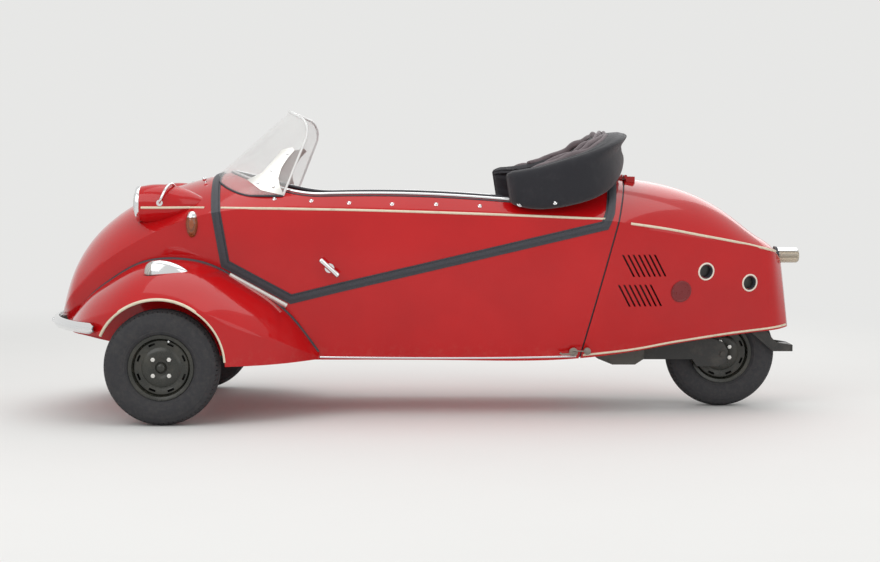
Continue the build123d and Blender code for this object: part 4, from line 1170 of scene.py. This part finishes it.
def windscreen():
    t = np.linspace(-1, 1, 81)
    foot, head = screenLimits(t)
    past = np.clip((np.abs(t) - screen["cornerAt"]) / (1 - screen["cornerAt"]), 0, 1)
    head = head - screen["corner"] * (1 - np.sqrt(1 - past ** 2))
    u = np.linspace(0, 1, 40)[:, None]
    s = foot[None] * (1 - u) + head[None] * u
    front = screenPoint(np.broadcast_to(t, s.shape), s)
    ahead = np.cross(np.gradient(front, axis=1), np.gradient(front, axis=0))
    ahead /= np.linalg.norm(ahead, axis=2, keepdims=True)
    if ahead[35, 60, 0] > 0:
        ahead = -ahead
    back = front - ahead * screen["thickness"]
    sheet = np.concatenate([front, back[:, ::-1]], 1)
    shellPiece("windscreenSheet", sheet, "canopy", "clear_glass", node="windscreen")
    middle = (front + back) / 2
    rim = np.vstack([middle[:, 0], middle[-1, 1:], middle[-2::-1, -1]])
    # A pale, mostly opaque tube round the sheet's rim: painted highlight of its edge
    edge = sweep(rim, ring(screen["edge"], 10), (0.35, 0, 0.94))
    shellPiece("windscreenEdgeHighlight", edge, "canopy", "sheet_edge")
    gasket = middle[0] + ahead[0] * 0.002 - (0, 0, 0.001)
    shellPiece("windscreenGasket", sweep(gasket, ring(0.0045, 10)), "canopy", "black_rubber")


def bracketScrews():
    # Four screws in each pale corner plate
    spots = [(-0.615, 0.845), (-0.560, 0.832), (-0.566, 0.890), (-0.508, 0.950)]
    head = [(-0.002, 0.0001), (-0.002, 0.0065), (0.001, 0.0062), (0.003, 0.0045), (0.0036, 0.0001)]
    for side, word in sides:
        normal = np.array([-np.sin(0.25), side * np.cos(0.25), 0.12])
        for index, (x, z) in enumerate(spots):
            s = (z - screen["foot"][3]) / (screen["head"][3] - screen["foot"][3])
            line = screenPoint(np.linspace(0.3, 1, 200), np.full(200, s))
            place = line[np.argmin(np.abs(line[:, 0] - x))] * (1, side, 1) + normal * 0.0045
            turned(f"bracketScrew{word}{index + 1}", head, place, normal, 20, "canopy", "chrome_trim")


windscreen()
bracketScrews()
print("windscreen made")


# Folded soft top: a U shaped bundle of hood cloth round the back of the cockpit
hood = {
    # plan path of the bundle's middle, from the left front end to the middle of the back
    "path": [(0.292, 0.346), (0.380, 0.354), (0.475, 0.354), (0.556, 0.340), (0.616, 0.294),
             (0.654, 0.215), (0.672, 0.110), (0.677, 0.000)],
    # at the same stations: foot Z, top Z, half thickness
    "heights": [(0.768, 0.884, 0.040), (0.752, 0.900, 0.047), (0.758, 0.928, 0.050), (0.778, 0.955, 0.052),
                (0.810, 0.986, 0.052), (0.858, 1.012, 0.052), (0.888, 1.024, 0.050), (0.894, 1.026, 0.050)],
    "rise": 0.012,              # the right end stands this much higher,
    "reach": 0.030,             # and this much further forward
    "lean": 0.018,              # the top of each end leans forward over its foot
    "fold": 0.010, "pull": 0.004, "flare": 0.020, "waist": 0.012,
    "rows": 220, "columns": 100,
    # layers of lining between the two arms, made pale as a painted highlight on the bundle's top: how far in
    # from the middle, above the top, from which share on
    "layers": [(0.006, -0.002, 0.05), (0.022, 0.004, 0.09), (0.038, 0.007, 0.16)],
    # press buttons of each arm: X, Z and radius
    "buttons": [(0.326, 0.768, 0.0125), (0.449, 0.771, 0.0085)],
}


def hoodLine(count):
    # Along the bundle: its middle, the way out of it, its foot, top and half thickness, and the share run
    half, tall = np.array(hood["path"], float), np.array(hood["heights"], float)
    path = np.vstack([half * (1, -1), half[-2::-1]])
    path[-1, 0] -= hood["reach"]
    rows = np.vstack([tall, tall[-2::-1]])
    rows[:, :2] += np.linspace(0, hood["rise"], len(rows))[:, None]
    step = runAlong(path)
    at = np.linspace(0, step[-1], count)
    middle = spline(step, path, at)
    ahead = np.gradient(middle, axis=0)
    ahead /= np.linalg.norm(ahead, axis=1, keepdims=True)
    out = np.stack([ahead[:, 1], -ahead[:, 0]], -1)
    return middle, out, spline(step, rows, at).T, at / step[-1]


def hoodGrid():
    middle, out, (foot, top, thick), share = hoodLine(hood["rows"])
    foot, top, thick, share = (row[:, None] for row in (foot, top, thick, share))
    turn = np.linspace(0, 2 * np.pi, hood["columns"], endpoint=False)[None]
    tip = np.minimum(share, 1 - share)
    ends = np.clip(tip / 0.022, 0, 1) ** 0.4
    # Superellipse section with a flat outer side; ridges of folded cloth run along its top and inner side,
    # a sine round the section whose phase drifts along the path. The upper edge flares out over the back.
    c, s = np.cos(turn), np.sin(turn)
    wide = np.sign(c) * np.abs(c) ** 0.42
    high = np.sign(s) * np.abs(s) ** 0.48
    inner = np.clip(0.35 - c, 0, 1)
    drift = 3.0 * share + 0.9 * np.sin(13 * share) + 0.5 * np.sin(31 * share + 1)
    folds = np.sin(13.0 * turn + drift) * np.clip(s + 0.35, 0, 1) * inner
    pull = np.sin(33 * share + 2.0 * turn) * np.clip(1.1 - np.abs(s), 0, 1) * np.clip(0.6 - c, 0.25, 1)
    width = thick * ends * (wide + hood["fold"] * folds / 0.05) + hood["pull"] * pull * ends
    z = (foot + top) / 2 + (top - foot) / 2 * (0.75 + 0.25 * ends) * high + hood["fold"] * 0.7 * folds * ends
    back = np.clip((middle[:, :1] - 0.56) / 0.09, 0, 1)
    lip = np.exp(-((z - top) / 0.024) ** 2)
    tuck = np.exp(-((z - top + 0.055) / 0.025) ** 2)
    width += (hood["flare"] * lip - hood["waist"] * tuck) * np.clip(c + 0.3, 0, 1) * back
    forward = hood["lean"] * np.exp(-(tip / 0.06) ** 2) * (z - foot) / (top - foot)
    return np.stack([middle[:, :1] + out[:, :1] * width - forward, middle[:, 1:] + out[:, 1:] * width, z], -1)


def liningHighlightRidges():
    # Ridges of pale lining, pressed together on top of the bundle, their paleness a painted highlight of
    # light on the top: each wavers in height and depth
    for index, (inward, above, start) in enumerate(hood["layers"]):
        middle, out, (_, top, _), share = hoodLine(220)
        keep = (share > start) & (share < 1 - start)
        middle, out, top, share = middle[keep], out[keep], top[keep], share[keep]
        waver = np.sin(47 * share + 2.1 * index) + 0.6 * np.sin(83 * share + index)
        taper = np.clip(np.minimum(share - start, 1 - start - share) / 0.03, 0.05, 1) ** 0.5
        plan = middle - out * (inward + 0.0025 * waver)[:, None]
        sunk = 0.022 * np.exp(-((share - 0.5) / 0.17) ** 2)
        path = np.column_stack([plan, top + above - sunk + 0.0035 * waver])
        grid = sweep(path, ring(1.0, 16) * (0.0085, 0.0130))
        shellPiece(f"hoodLayer{index + 1}", tapered(path, grid, taper), "canopy", "hood_lining", angle=180)


def foldedHood():
    bundle = shellPiece("foldedSoftTop", hoodGrid(), "canopy", "black_fabric", angle=180, node="folded_hood")
    dome = np.array([(-0.004, 0), (-0.004, 1.0), (0.001, 1.0), (0.0025, 0.82), (0.0018, 0.55), (0.0045, 0.45),
                     (0.0060, 0)])
    for side, word in sides:
        for index, (x, z, radius) in enumerate(hood["buttons"]):
            place = (x, side * hoodOut(bundle, x, z, side), z + 0.006)
            turned(f"hoodButton{word}{index + 1}", np.maximum(dome * (1, radius), (-1, 0.0001)), place,
                   (0, side, 0), 28, "canopy", "chrome_trim")


def hoodOut(bundle, x, z, side):
    # How far out the bundle's outer face lies near a length and height
    points = pointsOf(bundle) * (1, side, 1)
    away = np.hypot(points[:, 0] - x, (points[:, 2] - z) * 0.6) + (points[:, 1] < 0.3) * 9
    return float(np.sort(points[np.argsort(away)[:12], 1])[-4])


foldedHood()
liningHighlightRidges()
print("soft top made")


# Tail fittings: port rings, round markers, the lamp with its bright roof, seam rubber and toggles
def tailDetails():
    # Pale ring, black sleeve and dark back of each port, the back a painted shade inside the hole, and the
    # round markers
    t = tailFittings
    for x, z in t["ports"]:
        for side, word in sides:
            for name, form, count, slot, node in t["portParts"]:
                turned(f"{name}{word}{round(x * 1000)}", form, *onFlank(x, z, side), count, "tail", slot,
                       closeRows=name != "portShadeBack", node=node)
    for side, word in sides:
        turned("marker" + word, t["marker"], *onFlank(*t["disc"], side), 64, "tail", "marker_red",
               node="marker_discs")


tailLamp = {"x": (1.300, 1.396), "z": 0.568, "half": 0.0285, "roof": 0.0025}


def tailLampPieces():
    (x0, x1), z, half, roof = (tailLamp[key] for key in ("x", "z", "half", "roof"))
    lens = [(x0, 0.0001), (x0, half - 0.002), (x1 - 0.010, half - 0.002), (x1 - 0.003, half - 0.006),
            (x1, half - 0.014), (x1 + 0.0005, 0.0001)]
    turned("tailLens", lens, (0, 0, z), (1, 0, 0), 56, "tail", "tail_glass", node="tail_lamp")
    turn = np.radians(np.linspace(36, 144, 40))
    arc = np.stack([np.cos(turn), np.sin(turn)], -1)
    loop = np.vstack([arc * (half + roof), arc[::-1] * (half - 0.001)])
    rows = [np.column_stack([np.full(len(loop), level), loop * grow + (0, z)])
            for level, grow in ((x0 + 0.004, 1.02), (x1 - 0.022, 1.0), (x1 - 0.008, 0.96))]
    shellPiece("tailLampRoof", np.array(rows), "tail", "chrome_trim")
    collar = [(x0 + 0.002, half - 0.002), (x0 + 0.002, half + 0.008), (x0 + 0.012, half + 0.006),
              (x0 + 0.018, half - 0.002)]
    turned("tailLampCollar", collar, (0, 0, z), (1, 0, 0), 56, "tail", "black_rubber", closeRows=True)


def louvreShadePlate():
    # A dark plate some way behind the louvres of each side, painted shade seen through the slots: two layers
    # of the flank, joined round their edge
    x, z = np.meshgrid(np.linspace(0.655, 0.885, 24), np.linspace(0.375, 0.610, 16), indexing="ij")
    for side, word in sides:
        outer, back = (np.stack([x, side * np.array([flank(*row, depth) for row in zip(x, z)]), z], -1)
                       for depth in (-0.026, -0.029))
        shellPiece("louvreShadePlate" + word, np.concatenate([outer, back[:, ::-1]], 1), "tail", "dark_metal")


def seamRubber():
    # The strip that the tail cover closes on, just inside the seam, and its lip within the gap
    low, high, side = cuts["low"], cuts["high"], cuts["side"]
    middle = cuts["gap"] / 2
    for name, depth, half in (("seamRubber", -0.0150, 0.018), ("seamLip", -0.0040, 0.0020)):
        outline = [(seamX(z) + middle + reach, z) for z, reach in ((low, -half), (low, half), (high, half),
                                                                   (high, -half))]
        rubber = carve(hullPiece(name, depth), hullPiece("core", -0.0210))
        carve(rubber, prism("seamBand", outline, -side, side), "INTERSECT")
        finish(rubber, "chassis", "black_rubber")


def rearLining():
    # Closing panel behind the rear seat: a shelf from the bulkhead's top to the seam, and a wall to the crown
    back, foot, thick, high = 0.030, cuts["bulkheadTop"], 0.005, cuts["high"]
    front = cuts["bulkheadX"] + 0.001
    outline = [(front, foot - 0.006), (seamX(foot) - back + thick, foot), (seamX(high) - back + thick, high),
               (seamX(high) - back, high), (seamX(foot) - back, foot + thick), (front, foot - 0.001)]
    lining = prism("rearLining", outline, -cuts["side"], cuts["side"])
    finish(carve(lining, hullPiece("core", -0.0125), "INTERSECT"), "chassis", "red_paint")


toggle = {
    "y": 0.309, "lugAt": (0.524, 0.233), "hookAt": (0.574, 0.236),
    # turned forms as (out, radius), then the paths of the lever and the wire loop
    "lug": [(-0.004, 0.0001), (-0.004, 0.0160), (0.006, 0.0155), (0.008, 0.0120), (0.008, 0.0001)],
    "hook": [(-0.010, 0.0001), (-0.010, 0.0130), (0.008, 0.0125), (0.010, 0.0100), (0.010, 0.0001)],
    "lever": [(0.530, 0.317, 0.232), (0.508, 0.319, 0.227), (0.482, 0.318, 0.226), (0.474, 0.318, 0.231)],
    "loop": [(0.520, 0.321, 0.240), (0.544, 0.322, 0.238), (0.566, 0.321, 0.237)],
}


def toggles():
    # Over-centre catches at the seam's foot: lug, lever and wire loop on the tub, hook on the tail cover
    for side, word in sides:
        (lugX, lugZ), (hookX, hookZ), y = toggle["lugAt"], toggle["hookAt"], side * toggle["y"]
        lever, loop = (np.array(toggle[part]) * (1, side, 1) for part in ("lever", "loop"))
        turned("toggleLug" + word, toggle["lug"], (lugX, y, lugZ), (0, side, 0), 40, "chassis", "worn_steel",
               node="tail_toggles")
        shellPiece("toggleLever" + word, sweep(lever, ring(0.0065, 14, 0.5)), "chassis", "worn_steel")
        shellPiece("toggleLoop" + word, sweep(loop, ring(0.0024, 10)), "chassis", "worn_steel")
        turned("toggleHook" + word, toggle["hook"], (hookX, y, hookZ), (0, side, 0), 40, "tail", "worn_steel")


tailDetails()
tailLampPieces()
louvreShadePlate()
seamRubber()
rearLining()
toggles()
print("tail fittings made")


# Cockpit: seats, gauge, grips, mats
seats = {
    "cap": 0.010, "voxel": 0.0068, "frames": 20, "pressure": 4.0,
    "front": {"cushion": ((-0.330, 0.050), (-0.188, 0.188), (0.302, 0.386)),
              "back": ((0.032, 0.088), (-0.188, 0.188), (0.393, 0.678), 0.060)},
    "rear": {"cushion": ((0.150, 0.400), (-0.188, 0.188), (0.302, 0.386)),
             "back": ((0.382, 0.438), (-0.188, 0.188), (0.393, 0.678), 0.040)},
}


def roundedBlock(ranges, corner, count=26):
    # A box whose points are pushed towards a superellipsoid, as (rows, columns) wound round Z
    (x, y, z), (wide, deep, tall) = np.mean(ranges, 1), np.ptp(ranges, 1) / 2
    turn = np.linspace(0, 2 * np.pi, count * 8, endpoint=False)
    level = np.linspace(-1, 1, count * 2)[:, None]
    across, along = (np.sign(way) * np.abs(way) ** (2 / 9) for way in (np.cos(turn), np.sin(turn)))
    pinch = (1 - np.abs(level) ** 7) ** 0.16
    pinch[[0, -1]] = 0.55
    reach = corner + (1 - corner) * pinch
    return np.stack([x + wide * across * reach, y + deep * along * reach, z + tall * level + 0 * turn], -1)


def plump(piece):
    # Remeshed, blown up a little as cloth with no gravity, its growth capped
    s = seats
    remesh = piece.modifiers.new("remesh", "REMESH")
    remesh.mode, remesh.voxel_size = "VOXEL", s["voxel"]
    bake(piece)
    before = pointsOf(piece)
    cloth = piece.modifiers.new("cloth", "CLOTH")
    cloth.settings.use_pressure = True
    cloth.settings.uniform_pressure_force = s["pressure"]
    cloth.settings.effector_weights.gravity = 0
    cloth.point_cache.frame_start, cloth.point_cache.frame_end = 1, s["frames"]
    for frameNumber in range(1, s["frames"] + 1):
        scene.frame_set(frameNumber)
    bake(piece)
    move = pointsOf(piece) - before
    length = np.linalg.norm(move, axis=1, keepdims=True)
    movePoints(piece, before + move * np.minimum(1, s["cap"] / np.maximum(length, 1e-9)))
    scene.frame_set(1)


def channels(piece, span, facing, level, count=7, depth=0.007):
    # Sewn channels across Y: points near a channel's line are drawn in against the facing direction
    points = pointsOf(piece)
    share = (points[:, 1] - span[0]) / (span[1] - span[0])
    away = np.abs((share * count) % 1 - 0.5) * 2
    line = np.exp(-((1 - away) / 0.16) ** 2)
    inside = np.clip(np.minimum(share, 1 - share) * 9, 0, 1)
    near = np.clip((points @ np.array(facing) - level) / 0.02, 0, 1)
    movePoints(piece, points - np.array(facing) * (depth * line * inside * near)[:, None])


def seatPieces():
    for name in ("front", "rear"):
        spec = seats[name]
        *back, lean = spec["back"]
        for part, ranges, corner in (("Cushion", spec["cushion"], 0.90), ("Back", back, 0.88)):
            piece = shellPiece(name + part, roundedBlock(ranges, corner))
            plump(piece)
            if part == "Cushion":
                channels(piece, ranges[1], (0, 0, 1), ranges[2][1] - 0.030)
            else:
                channels(piece, ranges[1], (-1, 0, 0), -ranges[0][0] - 0.030)
                sheared(piece, lean, ranges[2])
            refine(piece)
            finish(piece, "chassis", "seat_leather", angle=180)
            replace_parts(piece, f"{name}_seat_{part.lower()}")


def refine(piece):
    step = piece.modifiers.new("refine", "SUBSURF")
    step.levels = step.render_levels = 1
    bake(piece)


def sheared(piece, lean, rise):
    # The back leans: X grows with height
    points = pointsOf(piece)
    points[:, 0] += lean * (points[:, 2] - rise[0]) / (rise[1] - rise[0])
    movePoints(piece, points)


grip = {
    "start": (-0.560, 0.216, 0.640), "length": 0.118, "radius": 0.0168,
    "ringDepth": 0.0012, "ringPitch": 0.0085, "flangeAt": 0.110, "flange": 0.003,
}


def grips():
    # Rubber grips with rings, on the ends of the bar
    g = grip
    along = np.linspace(0, g["length"], 60)
    rings = g["ringDepth"] * np.cos(along * 2 * np.pi / g["ringPitch"])
    radius = g["radius"] + rings + g["flange"] * (along > g["flangeAt"])
    form = np.vstack([[(0, 0.0001)], np.stack([along, radius], -1), [(g["length"] + 0.002, 0.0001)]])
    for side, word in sides:
        place = np.array(g["start"]) * (1, side, 1)
        turned("grip" + word, form, place, (0, -side, 0), 32, "bar", "black_rubber")


def gaugeNumber(name, text, place):
    # Raised figures facing the driver, made a mesh with their place applied
    label = bpy.data.curves.new(name, "FONT")
    label.body, label.size, label.extrude = text, 0.0085, 0.0002
    label.align_x = label.align_y = "CENTER"
    source = addPiece(name + "Curve", label)
    mesh = bpy.data.meshes.new_from_object(source.evaluated_get(bpy.context.evaluated_depsgraph_get()))
    mesh.transform(Matrix.Translation(place) @ Euler((math.pi / 2, 0, math.pi / 2)).to_matrix().to_4x4())
    bpy.data.objects.remove(source)
    finish(addPiece(name, mesh), "chassis", "cream_bead", smooth=False)


gauge = {
    "face": (-0.7905, 0.730), "markRadius": 0.040, "markHalf": 0.0006, "numberRadius": 0.0265,
    "degrees": range(-130, 131, 26),
    "rim": [(0.000, 0.0455), (0.004, 0.0470), (0.008, 0.0460), (0.009, 0.0435), (0.004, 0.0420),
            (0.000, 0.0420)],
    "hub": [(0, 0.0001), (0, 0.004), (0.004, 0.0035), (0.005, 0.0001)],
}


def gaugeFace():
    # Speed gauge: bright rim, black dial with a pale scale, a needle and plain numbers
    (x, z), half, out = gauge["face"], gauge["markHalf"], gauge["numberRadius"]
    turned("gaugeRim", gauge["rim"], (x, 0, z), (1, 0, 0), 64, "chassis", "chrome_trim", closeRows=True)
    for index, degree in enumerate(gauge["degrees"]):
        across, up = math.sin(math.radians(degree)), math.cos(math.radians(degree))
        numbered = index % 2 == 0
        length = 0.008 if numbered else 0.005
        aim, beside = np.array([0, -across, up]), np.array([0, up, across])
        centre = np.array([x + 0.0012, 0, z]) + aim * (gauge["markRadius"] - length / 2)
        corners = np.array([centre + aim * a * length / 2 + beside * b * half
                            for a, b in ((-1, -1), (1, -1), (1, 1), (-1, 1))])
        mark = np.array([corners, corners + (0.0006, 0, 0)])
        shellPiece(f"gaugeMark{index + 1}", mark, "chassis", "cream_bead")
        if numbered:
            gaugeNumber(f"gaugeNumber{index // 2 + 1}", str(index * 10),
                        (x + 0.0016, -across * out, z + up * out))
    needle = sweep([(x + 0.003, 0.006, z - 0.009), (x + 0.003, -0.018, z + 0.026)], ring(0.0009, 8))
    shellPiece("gaugeNeedle", needle, "chassis", "marker_red")
    turned("gaugeHub", gauge["hub"], (x + 0.001, 0, z), (1, 0, 0), 24, "chassis", "dark_metal")


def mats():
    # Ribbed mat on the floor, from the nose to the bulkhead
    x, y = np.linspace(-0.86, 0.47, 60)[:, None], np.linspace(-1, 1, 30)
    width = np.interp(x, [-0.86, -0.60, -0.30], [0.200, 0.245, 0.262])
    floor = hullRow(x[:, 0])[:, 1:2, 2] + hull["wall"] + 0.002
    under = np.stack([x + 0 * y, width * y, floor + 0 * y], -1)
    shellPiece("floorMat", np.concatenate([under, under[:, ::-1] + (0, 0, 0.005)], 1), "chassis", "floor_mat")


seatPieces()
grips()
gaugeFace()
mats()
print("cockpit dressed")


# The CAD's own meshes, where no piece takes their place: each in its slot, the tail's hinges body coloured
slots = {s["node"]: s["material_slot"] for s in frame["record"]["subparts"]}
slots.update(tail_hinge_fixed="red_paint", tail_hinge_moving="red_paint")
for name, node in nodes.items():
    for place in node.material_slots:
        place.material = paints[slots[name]]


# Studio: pale floor and backdrop, a large soft key from the left front, fill and top light
studio = {
    "floor": (0.80, 0.80, 0.79), "backdrop": (0.80, 0.80, 0.79), "world": 0.55,
    "near": 2.2, "far": 5.5,        # the floor passes into the backdrop between these distances
    "lamps": [("key", (-3.2, -4.6, 4.4), 5.0, 138), ("fill", (3.6, -4.2, 2.6), 4.0, 50),
              ("top", (0.2, 0.4, 5.0), 5.0, 96), ("back", (1.5, 4.6, 3.4), 4.0, 56)],
}


def studioStage():
    tone, backdrop = studio["floor"], (*studio["backdrop"], 1)
    p = Paint("paleFloor", Roughness=0.9)
    p.feed(Base_Color=p.mix(p.noise(2.0, 3.0), tuple(c * 0.98 for c in tone), tone))
    away = (p.axis("X") ** 2.0 + p.axis("Y") ** 2.0) ** 0.5
    mixed = p.node("ShaderNodeMixShader", {}, {
        0: away.smooth(studio["near"], studio["far"]) * p.seenRays(), 1: Value(p, p.shader.outputs[0]),
        2: p.node("ShaderNodeEmission", {}, {"Color": backdrop})})
    p.give(p.tree.nodes["Material Output"].inputs["Surface"], mixed)
    bpy.ops.mesh.primitive_plane_add(size=60)
    floor = bpy.context.object
    floor.name = "studioFloor"
    floor.data.materials.append(p.material)
    world = scene.world = bpy.data.worlds.new("studioWorld")
    world.use_nodes = True
    sky = Nodes(world.node_tree)
    background = sky.tree.nodes["Background"]
    low = studio["world"] / studio["backdrop"][0]
    sky.give(background.inputs["Strength"],
             sky.node("ShaderNodeMapRange", {}, {"Value": sky.seenRays(), "To Min": low}))
    sky.give(background.inputs["Color"], backdrop)
    for name, place, size, power in studio["lamps"]:
        lamp = bpy.data.lights.new(name, "AREA")
        lamp.size, lamp.energy = size, power
        lit = addPiece(name, lamp)
        lit.location = place
        lit.rotation_euler = (Vector((0, 0, 0.4)) - Vector(place)).to_track_quat("-Z", "Y").to_euler()


studioStage()
scene.view_settings.view_transform = "Standard"
